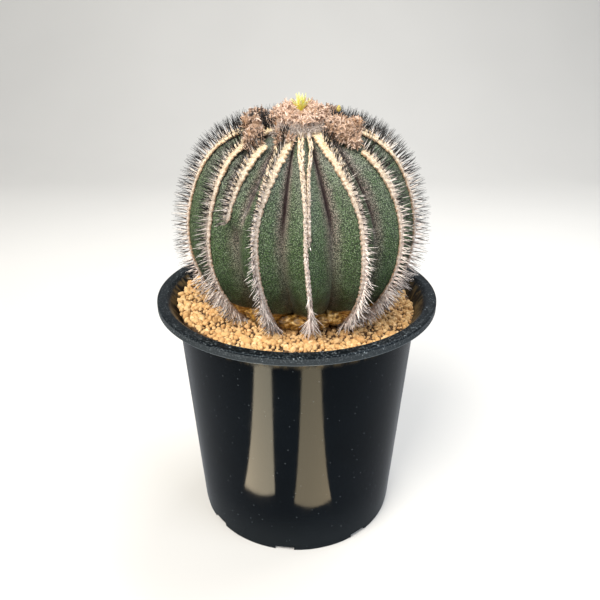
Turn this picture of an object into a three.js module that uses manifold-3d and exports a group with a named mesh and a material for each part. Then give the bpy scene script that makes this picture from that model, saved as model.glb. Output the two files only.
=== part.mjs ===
// Potted globe cactus: a ribbed stem with comb-like spines, growing in a round nursery pot.
// Millimetres, +Z up. The origin is the centre of the pot's foot ring, on the surface it stands on.
// Azimuths are in degrees: 0 faces the front (-Y) and positive turns towards +X.
import * as THREE from 'three';
import { mergeVertices } from 'three/addons/utils/BufferGeometryUtils.js';
import Module from 'manifold-3d';

const wasm = await Module();
wasm.setup();

// ---- driving dimensions ----------------------------------------------------------------------

const GAP = 0.3; // clearance between pieces that touch

const pot = {
  height: 121,
  rimRadius: 67.5,
  mouthRadius: 62.4,
  rimEdge: 0.9, // rounding of the rim's outer edge
  skirtHeight: 3.9,
  skirtWall: 1.5,
  shoulderDrop: 9.5, // the straight wall starts this far below the rim
  shoulderRadius: 58.2,
  flare: [[59.3, 7], [61, 4.4], [63.2, 1.8]], // radii and depths below the rim, under the skirt
  cove: [[57.8, 6.8], [59.4, 4.2], [61.5, 1.6]], // the same for the inside of the mouth
  footRadius: 51.2,
  footStep: 0.4, // the wall stands out this far over the foot ring
  footHeight: 3.2,
  wall: 1.4,
  floorHeight: 3.2,
  floorThickness: 1.8,
  notches: 8,
  notchWidth: 9.5,
  notchHeight: 2,
  notchDepth: 6,
  notchTurn: 6, // degrees from the front to the first notch
  drainHoles: 8,
  drainHoleRadius: 4,
  drainRing: 34,
  centreHoleRadius: 7,
  facets: 56,
};

const soil = {
  mixTop: 106,
  level: 114.8, // mean height of the gravel surface
  slope: 0.042, // it lies higher on the left side
  bump: 0.55,
  collar: 28.6, // radius of the hole in the gravel round the plant's base
  dip: 1.2, // the gravel lies this far below the ribs' feet, and climbs away from them
  climb: 0.55,
  rings: [0, 0.14, 0.32, 0.52, 0.74, 0.9], // rings of corners from the collar to the pot
  facets: 56,
};

const plant = {
  x: 2, // the plant stands slightly off the pot's axis
  // Meridian outlines from the crown to the root's tip, point for point: along a rib's crest and
  // along the valley between two ribs.
  crest: [
    [0, 199], [9, 199.3], [18, 198.6], [26.5, 196.8], [34, 193.2], [40.5, 187.8], [45.4, 180.6],
    [49, 172], [51.3, 163], [52.2, 154], [51.6, 145], [49, 136], [44.6, 127.6], [38.8, 120.4],
    [33.2, 116], [28, 113], [25.5, 109.5], [22, 104], [15, 97], [9, 89], [3, 83],
  ],
  valley: [
    [0, 198.6], [9, 198.3], [17, 196.9], [25, 194.2], [31.3, 189.6], [36.4, 183.6], [40.3, 176.6],
    [43.3, 169], [45.2, 161.4], [46, 153.6], [45.5, 146], [43.4, 138.8], [40, 131.8], [35.6, 125.6],
    [31, 120.8], [27.6, 116.6], [25.2, 112], [21, 105.5], [15, 97], [9, 89], [3, 83],
  ],
  foot: 15, // the outline point where the ribs' undersides meet the gravel
  firstPlace: 0.02,
  levels: 26,
  columns: 6, // corners across the skin from one crest to the next
  fullGap: 25, // ribs at least this many degrees apart have a valley of full depth
};

// Crest azimuths at the crown, the middle and the foot of each rib.
const ribs = [
  { name: '01', azimuths: [-1, 2.5, 6], halfWidth: 0.8, columns: 2 },
  { name: 'second_strand', azimuths: [8.5, 5, 8.5], halfWidth: 0.5, fades: [0.36, 0.46], end: 0.4 },
  { name: '02', azimuths: [20, 29.5, 32] },
  { name: '03', azimuths: [47, 55, 50], start: 0.26 },
  { name: '04', azimuths: [80, 78, 73], start: 0.15 },
  { name: '05', azimuths: [106, 103, 100] },
  { name: '06', azimuths: [131, 128, 127] },
  { name: '07', azimuths: [152, 154, 153], start: 0.21 },
  { name: '08', azimuths: [181, 179, 180] },
  { name: '09', azimuths: [207, 205, 203] },
  { name: '10', azimuths: [229, 231, 230], start: 0.21 },
  { name: '11', azimuths: [256, 257, 260] },
  { name: '12', azimuths: [278, 283, 289] },
  { name: '13', azimuths: [310, 312, 316], columns: 4 },
  { name: 'short_rib', azimuths: [329, 325, 325], fades: [0.3, 0.42], start: 0.24, end: 0.35, columns: 4 },
  { name: '14', azimuths: [347, 339.5, 343], start: 0.18 },
];

const comb = {
  start: 0.086, // places along the meridian, from 0 at the crown to 1 at the root's tip
  end: 0.63,
  teeth: 12,
  halfWidth: 1.4,
  wool: 1.2,
  tooth: 6,
  toothWidth: 0.18,
  lowestRise: -0.3, // low teeth stay clear of the gravel: they point outwards rather than down
};

// Tufts of dried flowers and wool: place on the crest, footprint, height and lean towards upright.
const tufts = [
  { name: 'crown_tuft_left', azimuth: -31, place: 0.195, across: 5.8, along: 5.2, height: 15.5, lean: 0.45 },
  { name: 'crown_tuft_right', azimuth: 41, place: 0.17, across: 7.4, along: 6, height: 14, lean: 0.4 },
  { name: 'crown_tuft_right_inner', azimuth: 52, place: 0.105, across: 4.6, along: 4.6, height: 7.6, lean: 0.4 },
  { name: 'crown_tuft_small_1', azimuth: -13, place: 0.152, across: 2.6, along: 2.8, height: 4.6, lean: 0.2 },
  { name: 'crown_tuft_small_2', azimuth: -26, place: 0.112, across: 2.4, along: 2.4, height: 4.4, lean: 0.2 },
  { name: 'crown_tuft_back_1', azimuth: 152, place: 0.15, across: 5, along: 4.6, height: 9, lean: 0.3 },
  { name: 'crown_tuft_back_2', azimuth: 229, place: 0.15, across: 4.6, along: 5, height: 8.5, lean: 0.3 },
];
const centreTuft = { x: -0.8, y: 0, radiusX: 13, radiusY: 11.2, height: 11.6, base: 199.75, hollow: 6.2 };
const tuftFacets = 12;

const flower = {
  x: 1.6,
  y: -1,
  tubeBase: 199.9,
  tubeRadius: 1.2,
  cupRadius: 2.1,
  cupDepth: 2.2,
  cupTop: 204.6,
  outerPetals: { count: 6, ring: 2.1, reach: 4.3, width: 1.9, tip: 213.2 },
  innerPetals: { count: 5, ring: 1.15, reach: 2.2, width: 1.1, tip: 214 }, // highest point of the plant
  petalThickness: 0.36,
  styleRadius: 0.4,
  styleTop: 211.4,
};
const bud = { host: 'crown_tuft_right_inner', radius: 1.1, height: 2.6 };

// ---- colours ---------------------------------------------------------------------------------

const finishes = {
  pot: { color: 0x14191d, roughness: 0.22 },
  soil: { color: 0x6b4a2e, roughness: 0.95 },
  akadama: { color: 0xc79a63, roughness: 0.95 },
  stem: { color: 0x3d5138, roughness: 0.6 },
  comb: { color: 0xe3d6c4, roughness: 0.9 },
  tuft: { color: 0x9c7a66, roughness: 0.95 },
  petal: { color: 0xe6e04a, roughness: 0.55 },
  bud: { color: 0xc6c458, roughness: 0.6 },
};

// ---- mesh helpers ----------------------------------------------------------------------------

const radians = THREE.MathUtils.degToRad;
const { clamp, lerp, smoothstep } = THREE.MathUtils;

// A repeatable value from 0 to 1 for a pair of whole numbers.
function scatter(i, j) {
  const wave = Math.sin(i * 12.9898 + j * 78.233) * 43758.5453;
  return wave - Math.floor(wave);
}

function bufferOf(positions, triangles) {
  const geometry = new THREE.BufferGeometry();
  geometry.setAttribute('position', new THREE.Float32BufferAttribute(positions, 3));
  geometry.setIndex(triangles);
  return geometry;
}

// Turns the triangles over where a closed surface faces inwards.
function facingOut(positions, triangles) {
  const corner = (k) => new THREE.Vector3().fromArray(positions, 3 * triangles[k]);
  let volume = 0;
  for (let k = 0; k < triangles.length; k += 3) {
    volume += corner(k).dot(corner(k + 1).cross(corner(k + 2)));
  }
  return volume > 0 ? triangles : triangles.reverse();
}

// A closed surface through sections of equal length. Open runs get a cap at each end; a looped
// run joins its last section to its first.
function loft(sections, looped = false) {
  const size = sections[0].length;
  const points = sections.flat();
  const triangles = [];
  const runs = looped ? sections.length : sections.length - 1;
  for (let i = 0; i < runs; i += 1) {
    const here = i * size;
    const next = ((i + 1) % sections.length) * size;
    for (let j = 0; j < size; j += 1) {
      const k = (j + 1) % size;
      triangles.push(here + j, here + k, next + k, here + j, next + k, next + j);
    }
  }
  if (!looped) {
    [0, sections.length - 1].forEach((i) => {
      const centre = new THREE.Vector3();
      sections[i].forEach((point) => centre.addScaledVector(point, 1 / size));
      const hub = points.push(centre) - 1;
      for (let j = 0; j < size; j += 1) {
        const edge = [i * size + j, i * size + ((j + 1) % size)];
        triangles.push(hub, ...(i === 0 ? edge.reverse() : edge));
      }
    });
  }
  const positions = points.flatMap((point) => point.toArray());
  return bufferOf(positions, facingOut(positions, triangles));
}

// A solid turned about +Z from a closed outline of [radius, height] points.
function turned(outline, facets) {
  const points = [...outline, outline[0]].map(([r, z]) => new THREE.Vector2(r, z));
  return new THREE.LatheGeometry(points, facets).rotateX(Math.PI / 2);
}

function solidOf(geometry) {
  const bare = geometry.clone();
  bare.deleteAttribute('normal');
  bare.deleteAttribute('uv');
  const merged = mergeVertices(bare);
  const positions = merged.attributes.position.array;
  const corners = Array.from(merged.index.array);
  const kept = [];
  for (let k = 0; k < corners.length; k += 3) {
    const [a, b, c] = corners.slice(k, k + 3);
    if (a !== b && b !== c && c !== a) kept.push(a, b, c);
  }
  const triVerts = new Uint32Array(facingOut(positions, kept));
  return new wasm.Manifold(new wasm.Mesh({ numProp: 3, vertProperties: positions, triVerts }));
}

function geometryOf(solid) {
  const mesh = solid.getMesh();
  return bufferOf(Array.from(mesh.vertProperties), Array.from(mesh.triVerts));
}

function upright(geometry, x, y, z) {
  return geometry.rotateX(Math.PI / 2).translate(x, y, z);
}

const assembly = new THREE.Group();

function addPart(name, geometry, finish) {
  const { color, roughness } = finishes[finish];
  const mesh = new THREE.Mesh(
    geometry,
    new THREE.MeshStandardMaterial({ color, roughness, metalness: 0 }),
  );
  mesh.name = name;
  assembly.add(mesh);
}

// ---- pot -------------------------------------------------------------------------------------

// Outer radius of the pot's straight wall at a height.
function wallRadius(z) {
  const top = pot.height - pot.shoulderDrop;
  const along = (z - pot.footHeight) / (top - pot.footHeight);
  return lerp(pot.footRadius + pot.footStep, pot.shoulderRadius, along);
}

// Inner surface of the pot between the straight wall and the mouth, from below.
const mouthCove = [
  [pot.shoulderRadius - pot.wall, pot.height - pot.shoulderDrop],
  ...pot.cove.map(([r, depth]) => [r, pot.height - depth]),
  [pot.mouthRadius, pot.height - 0.5],
];

function innerRadius(z) {
  if (z < mouthCove[0][1]) return wallRadius(z) - pot.wall;
  const above = Math.max(1, mouthCove.findIndex(([, height]) => height >= z));
  const [[r0, z0], [r1, z1]] = [mouthCove[above - 1], mouthCove[above]];
  return lerp(r0, r1, (z - z0) / (z1 - z0));
}

function makePot() {
  const H = pot.height;
  const floorTop = pot.floorHeight + pot.floorThickness;
  const skirtInner = pot.rimRadius - pot.skirtWall;
  const footInner = pot.footRadius - pot.wall;
  const outline = [
    [0, pot.floorHeight],
    [footInner - 0.6, pot.floorHeight],
    [footInner, 0],
    [pot.footRadius, 0],
    [pot.footRadius, pot.footHeight - 0.5],
    [wallRadius(pot.footHeight), pot.footHeight],
    [pot.shoulderRadius, H - pot.shoulderDrop],
    ...pot.flare.map(([r, depth]) => [r, H - depth]),
    [skirtInner, H - 1.6],
    [skirtInner, H - pot.skirtHeight],
    [pot.rimRadius, H - pot.skirtHeight],
    [pot.rimRadius, H - pot.rimEdge],
    [pot.rimRadius - 0.3 * pot.rimEdge, H - 0.3 * pot.rimEdge],
    [pot.rimRadius - pot.rimEdge, H],
    [pot.mouthRadius + 0.5, H],
    ...[...mouthCove].reverse(),
    [wallRadius(floorTop + 1) - pot.wall, floorTop + 1],
    [wallRadius(floorTop) - pot.wall - 1, floorTop],
    [0, floorTop],
  ];
  let body = solidOf(turned(outline, pot.facets));
  for (let i = 0; i < pot.notches; i += 1) {
    const slot = new THREE.BoxGeometry(pot.notchWidth, 2 * pot.notchDepth, 2 * pot.notchHeight);
    slot.translate(0, -pot.footRadius, 0).rotateZ((i * 2 * Math.PI) / pot.notches - radians(pot.notchTurn));
    body = body.subtract(solidOf(slot));
  }
  const drill = (radius, x, y) => {
    const bit = new THREE.CylinderGeometry(radius, radius, 3 * pot.floorThickness, 16);
    body = body.subtract(solidOf(upright(bit, x, y, pot.floorHeight + pot.floorThickness / 2)));
  };
  drill(pot.centreHoleRadius, 0, 0);
  for (let i = 0; i < pot.drainHoles; i += 1) {
    const turn = (i * 2 * Math.PI) / pot.drainHoles;
    drill(pot.drainHoleRadius, pot.drainRing * Math.cos(turn), pot.drainRing * Math.sin(turn));
  }
  return geometryOf(body);
}

// ---- plant outline ---------------------------------------------------------------------------

const outlineCurve = (points) => new THREE.SplineCurve(points.map((p) => new THREE.Vector2(...p)));
const crestCurve = outlineCurve(plant.crest);
const valleyCurve = outlineCurve(plant.valley);

// Azimuth of a rib's crest at a place on the meridian.
function ribAzimuth(rib, place) {
  const [crown, middle, foot] = rib.azimuths;
  const along = clamp((place - 0.15) / 0.5, 0, 1);
  return along < 0.5
    ? lerp(crown, middle, smoothstep(along, 0, 0.5))
    : lerp(middle, foot, smoothstep(along, 0.5, 1));
}

// How far the surface stands out at an azimuth between two crests: 0 in a valley, 1 on a crest.
function ridge(azimuth, crests) {
  const after = crests.findIndex((crest) => crest > azimuth);
  const right = after < 0 ? crests[0] + 360 : crests[after];
  const left = after < 0 ? crests[crests.length - 1] : (crests[after - 1] ?? crests[crests.length - 1] - 360);
  const gap = right - left;
  const w = Math.abs((2 * (azimuth - left)) / gap - 1);
  const rounded = 0.5 * w + 0.5 * Math.sin((w * Math.PI) / 2);
  return 1 - Math.min(1, gap / plant.fullGap) * (1 - rounded);
}

// Point of the stem's surface at a place on the meridian and an azimuth.
function stemPoint(place, azimuth) {
  let stand = ridge(azimuth, ribs.filter((rib) => !rib.fades).map((rib) => ribAzimuth(rib, place)));
  ribs.filter((rib) => rib.fades).forEach((rib) => {
    const crests = ribs.filter((other) => !other.fades || other === rib);
    const shown = 1 - smoothstep(place, ...rib.fades);
    stand = lerp(stand, ridge(azimuth, crests.map((other) => ribAzimuth(other, place))), shown);
  });
  const outline = valleyCurve.getPoint(place).lerp(crestCurve.getPoint(place), stand);
  const turn = radians(azimuth);
  return new THREE.Vector3(
    plant.x + outline.x * Math.sin(turn),
    -outline.x * Math.cos(turn),
    outline.y,
  );
}

// Frame on a crest: the point, the outward normal, and the directions across and along the rib.
function crestFrame(azimuth, place) {
  const turn = radians(azimuth);
  const outward = new THREE.Vector3(Math.sin(turn), -Math.cos(turn), 0);
  const at = crestCurve.getPoint(place);
  const slope = crestCurve.getTangent(place);
  const point = outward.clone().multiplyScalar(at.x).add(new THREE.Vector3(plant.x, 0, at.y));
  const normal = outward.clone().multiplyScalar(-slope.y).add(new THREE.Vector3(0, 0, slope.x));
  const across = new THREE.Vector3(Math.cos(turn), Math.sin(turn), 0);
  return { point, normal, across, along: new THREE.Vector3().crossVectors(normal, across) };
}

function makeStem() {
  const sections = [];
  for (let level = 0; level < plant.levels; level += 1) {
    const place = lerp(plant.firstPlace, 1, level / (plant.levels - 1));
    const section = [];
    ribs.forEach((rib, k) => {
      const left = ribAzimuth(rib, place);
      const right = ribAzimuth(ribs[(k + 1) % ribs.length], place) + (k + 1 < ribs.length ? 0 : 360);
      const columns = rib.columns ?? plant.columns;
      for (let j = 0; j < columns; j += 1) {
        section.push(stemPoint(place, lerp(left, right, j / columns)));
      }
    });
    sections.push(section);
  }
  return loft(sections);
}

// Wool along a rib's crest with a row of teeth standing out of it, one for each cluster of spines.
function makeComb(rib) {
  const start = rib.start ?? comb.start;
  const end = rib.end ?? comb.end;
  const halfWidth = rib.halfWidth ?? comb.halfWidth;
  const teeth = Math.round((comb.teeth * (end - start)) / (comb.end - comb.start));
  const sections = [];
  for (let i = 0; i <= 2 * teeth; i += 1) {
    const place = lerp(start, end, i / (2 * teeth));
    const { point, normal, across } = crestFrame(ribAzimuth(rib, place), place);
    const rise = new THREE.Vector3(normal.x, normal.y, Math.max(normal.z, comb.lowestRise)).normalize();
    const height = i % 2 ? comb.tooth : comb.wool;
    const corner = (side, out, up) => point
      .clone()
      .addScaledVector(across, side)
      .addScaledVector(normal, out)
      .addScaledVector(rise, up);
    sections.push([
      corner(-halfWidth, 0.5 * GAP, 0),
      corner(-comb.toothWidth, GAP, height),
      corner(comb.toothWidth, GAP, height),
      corner(halfWidth, 0.5 * GAP, 0),
      corner(0, GAP, 0),
    ]);
  }
  return loft(sections);
}

// A lumpy mound that stands on a flat foot: at(x, y, z) places a point given in its own directions.
function mound(across, along, height, seed, at) {
  const levels = [[0.72, 0], [0.95, 0.16], [1, 0.42], [0.9, 0.68], [0.62, 0.89], [0.25, 1]];
  const sections = levels.map(([spread, rise], i) => {
    const section = [];
    for (let j = 0; j < tuftFacets; j += 1) {
      const turn = (j * 2 * Math.PI) / tuftFacets;
      const lump = spread * (1 - 0.18 * scatter(seed + i, j));
      const lift = i === 0 ? 0 : 0.08 * (scatter(seed - i, j) - 0.8);
      section.push(at(
        across * lump * Math.cos(turn),
        along * lump * Math.sin(turn),
        height * (rise + lift),
      ));
    }
    return section;
  });
  return loft(sections);
}

function makeTuft({ azimuth, place, across, along, height, lean }, seed) {
  const frame = crestFrame(azimuth, place);
  const up = new THREE.Vector3(0, 0, 1);
  return mound(across, along, height, seed, (x, y, z) => frame.point
    .clone()
    .addScaledVector(frame.across, x)
    .addScaledVector(frame.along, y)
    .addScaledVector(frame.normal, GAP + z * (1 - lean))
    .addScaledVector(up, z * lean));
}

// The middle tuft lets the flower's tube through and opens into a hollow round its petals.
function makeCentreTuft() {
  const { x, y, radiusX, radiusY, height, base } = centreTuft;
  const heap = mound(radiusX, radiusY, height, 40, (dx, dy, dz) => (
    new THREE.Vector3(plant.x + x + dx, y + dy, base + dz)
  ));
  const top = base + height + 1;
  const throat = flower.cupRadius + GAP;
  const bore = [
    [0, base - 1],
    [throat, base - 1],
    [throat, flower.cupTop - 1],
    [centreTuft.hollow, top],
    [0, top],
  ];
  const opening = turned(bore, tuftFacets).translate(flower.x, flower.y, 0);
  return geometryOf(solidOf(heap).subtract(solidOf(opening)));
}

// ---- flower ----------------------------------------------------------------------------------

function makeFlowerTube() {
  const outline = [
    [0, flower.tubeBase],
    [flower.tubeRadius, flower.tubeBase],
    [flower.tubeRadius, flower.cupTop - flower.cupDepth],
    [flower.cupRadius, flower.cupTop],
    [0, flower.cupTop],
  ];
  return turned(outline, 12).translate(flower.x, flower.y, 0);
}

// A pointed petal that leans out from the cup, widest a little above its middle.
function makePetal({ ring, reach, width, tip }, azimuth) {
  const turn = radians(azimuth);
  const outward = new THREE.Vector3(Math.sin(turn), -Math.cos(turn), 0);
  const sideways = new THREE.Vector3(Math.cos(turn), Math.sin(turn), 0);
  const base = flower.cupTop + GAP;
  const thickness = flower.petalThickness;
  const sections = [[0, 0.6], [0.3, 0.85], [0.6, 1], [0.85, 0.65], [1, 0.12]].map(([along, spread]) => {
    const middle = new THREE.Vector3(flower.x, flower.y, lerp(base, tip, along))
      .addScaledVector(outward, lerp(ring, reach, along ** 1.3));
    const half = 0.5 * width * spread;
    return [[-half, 0], [0, -0.5 * thickness], [half, 0], [0, 0.5 * thickness]].map(([side, out]) => (
      middle.clone().addScaledVector(sideways, side).addScaledVector(outward, out)
    ));
  });
  return loft(sections);
}

function makeStyle() {
  const height = flower.styleTop - flower.cupTop - GAP;
  const stalk = new THREE.CylinderGeometry(flower.styleRadius, flower.styleRadius, height, 8);
  return upright(stalk, flower.x, flower.y, flower.styleTop - height / 2);
}

// A closed bud that sits on one of the right-hand tufts.
function makeBud() {
  const host = tufts.find((tuft) => tuft.name === bud.host);
  const { point, normal } = crestFrame(host.azimuth, host.place);
  const seat = point
    .clone()
    .addScaledVector(normal, 2 * GAP + host.height * (1 - host.lean))
    .add(new THREE.Vector3(0, 0, host.height * host.lean));
  const outline = [[0, 0], [0.7, 0], [1, 0.35], [0.75, 0.75], [0, 1]];
  const scaled = outline.map(([r, z]) => [r * bud.radius, z * bud.height]);
  return turned(scaled, 8).translate(seat.x, seat.y, seat.z);
}

// ---- soil ------------------------------------------------------------------------------------

// The body of mix fills the pot and leaves a pocket for the root.
function makePottingMix() {
  const floor = pot.floorHeight + pot.floorThickness + GAP;
  const outline = [
    [0, floor],
    [innerRadius(floor + 1) - 1 - GAP, floor],
    [innerRadius(floor + 3) - GAP, floor + 3],
    [innerRadius(soil.mixTop) - GAP, soil.mixTop],
    [0, soil.mixTop],
  ];
  const root = plant.crest.slice(plant.foot + 1);
  const pocket = [
    [0, root[0][1]],
    ...root.map(([r, z]) => [r + 2 * GAP, z]),
    [0, root[root.length - 1][1] - 2 * GAP],
  ].reverse();
  const hollow = turned(pocket, soil.facets).translate(plant.x, 0, 0);
  return geometryOf(solidOf(turned(outline, soil.facets)).subtract(solidOf(hollow)));
}

function soilHeight(radius, azimuth, i, j) {
  const level = soil.level - soil.slope * radius * Math.sin(azimuth) + soil.bump * (2 * scatter(i, j) - 1);
  const [footRadius, footHeight] = plant.crest[plant.foot];
  return Math.min(level, footHeight - soil.dip + soil.climb * Math.max(0, radius - footRadius));
}

// A ring of gravel between the plant's base and the pot, uneven on top.
function makeTopLayer() {
  const base = soil.mixTop + GAP;
  const sections = [];
  for (let j = 0; j < soil.facets; j += 1) {
    const azimuth = (j * 2 * Math.PI) / soil.facets;
    const at = (radius, z, shift) => new THREE.Vector3(
      shift * plant.x + radius * Math.sin(azimuth),
      -radius * Math.cos(azimuth),
      z,
    );
    const section = [at(soil.collar, base, 1)];
    soil.rings.forEach((across, i) => {
      const radius = lerp(soil.collar, innerRadius(soil.level), across);
      section.push(at(radius, soilHeight(radius, azimuth, i, j), 1 - across));
    });
    const edge = soilHeight(innerRadius(soil.level), azimuth, 7, j);
    section.push(at(innerRadius(edge) - 2 * GAP, edge, 0));
    section.push(at(innerRadius(mouthCove[0][1]) - 2 * GAP, mouthCove[0][1], 0));
    section.push(at(innerRadius(base) - 2 * GAP, base, 0));
    sections.push(section);
  }
  return loft(sections, true);
}

// ---- assembly --------------------------------------------------------------------------------

addPart('pot', makePot(), 'pot');
addPart('potting_mix', makePottingMix(), 'soil');
addPart('akadama_top_layer', makeTopLayer(), 'akadama');
addPart('cactus_stem', makeStem(), 'stem');
ribs.forEach((rib) => addPart(`spine_comb_${rib.name}`, makeComb(rib), 'comb'));
addPart('crown_tuft_centre', makeCentreTuft(), 'tuft');
tufts.forEach((tuft, i) => addPart(tuft.name, makeTuft(tuft, 11 * (i + 1)), 'tuft'));
addPart('flower_tube', makeFlowerTube(), 'petal');
[['outer', flower.outerPetals], ['inner', flower.innerPetals]].forEach(([row, petals]) => {
  for (let i = 0; i < petals.count; i += 1) {
    const azimuth = ((i + (row === 'inner' ? 0.5 : 0)) * 360) / petals.count;
    addPart(`flower_petal_${row}_${i + 1}`, makePetal(petals, azimuth), 'petal');
  }
});
addPart('flower_style', makeStyle(), 'petal');
addPart('flower_bud', makeBud(), 'bud');

export default assembly;
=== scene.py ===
"""Potted globe cactus: the looks of the plant, its gravel and its pot, on the packed CAD frame.

Every shape is worked out in millimetres and stored in metres. The foot of the pot stands on z = 0,
the front faces -Y, and azimuths are in degrees from the front, positive towards +X.
"""

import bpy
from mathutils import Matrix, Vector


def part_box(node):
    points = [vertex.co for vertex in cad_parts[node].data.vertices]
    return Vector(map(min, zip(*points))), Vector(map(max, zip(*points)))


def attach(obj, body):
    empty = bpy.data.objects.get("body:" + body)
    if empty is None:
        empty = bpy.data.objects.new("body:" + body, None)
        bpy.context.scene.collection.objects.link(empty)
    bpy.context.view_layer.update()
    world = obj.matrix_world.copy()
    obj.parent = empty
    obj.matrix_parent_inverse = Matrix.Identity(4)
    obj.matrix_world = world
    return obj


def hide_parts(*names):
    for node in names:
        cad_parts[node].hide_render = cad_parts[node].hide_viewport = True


bl_info = {
    "name": "Potted globe cactus",
    "version": (1, 0, 0),
    "blender": (4, 5, 0),
    "location": "3D View > Sidebar > Cactus",
    "description": "Builds a ribbed cactus with combs of spines in a nursery pot",
    "category": "Object",
}

import math

import bmesh
import bpy
import numpy as np
from bpy.props import FloatProperty, FloatVectorProperty, IntProperty, PointerProperty
from mathutils import Matrix, Vector, noise

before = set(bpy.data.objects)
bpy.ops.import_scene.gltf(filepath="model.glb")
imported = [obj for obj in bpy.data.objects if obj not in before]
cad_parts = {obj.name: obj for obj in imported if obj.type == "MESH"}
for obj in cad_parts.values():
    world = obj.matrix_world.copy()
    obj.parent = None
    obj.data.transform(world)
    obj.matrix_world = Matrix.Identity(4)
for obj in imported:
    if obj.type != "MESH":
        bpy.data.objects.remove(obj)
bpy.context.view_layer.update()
MM = 0.001


def srgb(red, green, blue):
    """A colour given in 0 to 255 steps, as the linear values that Blender stores."""
    steps = [v / 255 for v in (red, green, blue)]
    return tuple(v / 12.92 if v <= 0.04045 else ((v + 0.055) / 1.055) ** 2.4 for v in steps)


def paint(label, red, green, blue):
    """A colour property with its default."""
    return FloatVectorProperty(
        name=label, description=label + " colour", subtype="COLOR", size=3, min=0, max=1,
        default=srgb(red, green, blue),
    )


def length(label, description, millimetres):
    """A length property with its default in millimetres."""
    return FloatProperty(
        name=label, description=description, default=millimetres * MM, min=0, unit="LENGTH", precision=5,
    )


def whole(label, description, default, least=1):
    """A property that holds a whole number."""
    return IntProperty(name=label, description=description, default=default, min=least)


def power(label, description, watts):
    """A property that holds a lamp's power."""
    return FloatProperty(name=label, description=description, default=watts, min=0, unit="POWER")


# ---- settings ---------------------------------------------------------------------------------


class PotSettings(bpy.types.PropertyGroup):
    """Sizes and colours of the nursery pot."""

    rim_rounding: length("Rim rounding", "Radius of the rim's outer edge", 0.9)
    steps: whole("Steps", "Faces round the pot", 224, 48)
    plastic: paint("Plastic", 8, 11, 14)
    # The dust colour also paints the sheen on the skirt and the highlight along its lower edge.
    dust: paint("Dust", 150, 160, 165)
    deposit: paint("Soil deposit", 92, 78, 52)


class SoilSettings(bpy.types.PropertyGroup):
    """Sizes and colours of the gravel and the mix under it."""

    smallest: length("Smallest granule", "Radius of the smallest granules", 0.85)
    largest: length("Largest granule", "Radius of the largest granules", 2.0)
    spacing: length("Granule spacing", "Least distance between two granules", 1.5)
    light: paint("Light granules", 224, 190, 138)
    tan: paint("Tan granules", 206, 164, 108)
    brown: paint("Brown granules", 170, 126, 80)
    # The gap colour is painted shade: the dark between the granules.
    gap: paint("Gaps between granules", 40, 29, 19)


class StemSettings(bpy.types.PropertyGroup):
    """Sizes and colours of the plant's skin."""

    crease: length("Crease", "Depth of the fold at the bottom of a valley", 1.5)
    cork_recess: length("Cork recess", "How far the cork lies back under the green skin", 1.6)
    speck_pitch: length("Speck pitch", "Distance between the waxy specks", 0.38)
    # Besides the skin's own greens, the shoulder colour holds a painted sheen and the base colour painted
    # shade.
    shoulder: paint("Shoulder", 114, 120, 104)
    flank: paint("Flank", 74, 96, 56)
    base: paint("Base", 20, 40, 6)
    speck: paint("Waxy specks", 176, 186, 164)
    valley: paint("Valley", 142, 124, 120)
    # The fold colour is painted shade in the creases at the bottom of the valleys.
    fold: paint("Fold", 34, 14, 17)
    cork: paint("Cork", 188, 144, 68)


class WoolSettings(bpy.types.PropertyGroup):
    """Sizes and colours of the wool along the ribs."""

    pitch: length("Bead pitch", "Distance between two areoles", 2.2)
    half_width: length("Half width", "Half the width of the wool at the plant's equator", 1.25)
    height: length("Height", "How far the wool stands out", 1.1)
    hair: length("Hair", "Length of the wool's loose hairs", 1.2)
    hair_roots: whole("Crown hair", "Roots of loose hair on the crown", 260)
    crown: paint("Wool at the crown", 250, 230, 186)
    middle: paint("Wool at the equator", 220, 209, 196)
    foot: paint("Wool at the foot", 206, 198, 196)
    stain: paint("Stained wool", 140, 106, 70)
    fleck: paint("Rusty flecks", 190, 140, 84)


class SpineSettings(bpy.types.PropertyGroup):
    """Sizes and colours of the spines."""

    length: length("Length", "Length of a typical spine", 6.8)
    radius: length("Radius", "Radius at a spine's foot", 0.21)
    count: whole("Spines", "Spines in each areole", 8)
    crown_roots: whole("Crown spines", "Roots of spines on the crown", 190)
    dark: paint("Dark spines", 12, 10, 12)
    pale: paint("Pale spines", 250, 240, 232)
    rose: paint("Rose spines", 216, 194, 186)


class TuftSettings(bpy.types.PropertyGroup):
    """Sizes and colours of the dried flowers on the crown."""

    flake_length: length("Flake length", "Length of a dried petal", 1.8)
    flake_width: length("Flake width", "Width of a dried petal", 0.85)
    light: paint("Light petals", 218, 196, 180)
    rust: paint("Rusty petals", 166, 134, 108)
    dark: paint("Dark petals", 66, 50, 40)


class FlowerSettings(bpy.types.PropertyGroup):
    """Sizes and colours of the open flower and the bud."""

    petal_thickness: length("Petal thickness", "Thickness of a petal", 0.3)
    petal: paint("Petal", 210, 204, 66)
    petal_foot: paint("Petal foot", 172, 164, 26)
    pollen: paint("Pollen", 236, 206, 70)
    bud: paint("Bud", 190, 172, 84)


class StudioSettings(bpy.types.PropertyGroup):
    """The floor, the lamps and the lens."""

    floor: paint("Floor", 206, 205, 202)
    key: power("Key lamp", "Power of the key lamp", 16.5)
    fill: power("Fill lamp", "Power of the fill lamp", 6)
    gleam: power("Strip lamps", "Power of the strip lamps", 0.175)
    sky: FloatProperty(name="Sky", description="Strength of the even light", default=0.36, min=0)
    lens: FloatProperty(name="Lens", description="Focal length in millimetres", default=36, min=1)


SETTINGS = {
    "cactus_pot": PotSettings,
    "cactus_soil": SoilSettings,
    "cactus_stem": StemSettings,
    "cactus_wool": WoolSettings,
    "cactus_spines": SpineSettings,
    "cactus_tufts": TuftSettings,
    "cactus_flower": FlowerSettings,
    "cactus_studio": StudioSettings,
}


# ---- the plant's outline, in millimetres --------------------------------------------------------

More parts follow.
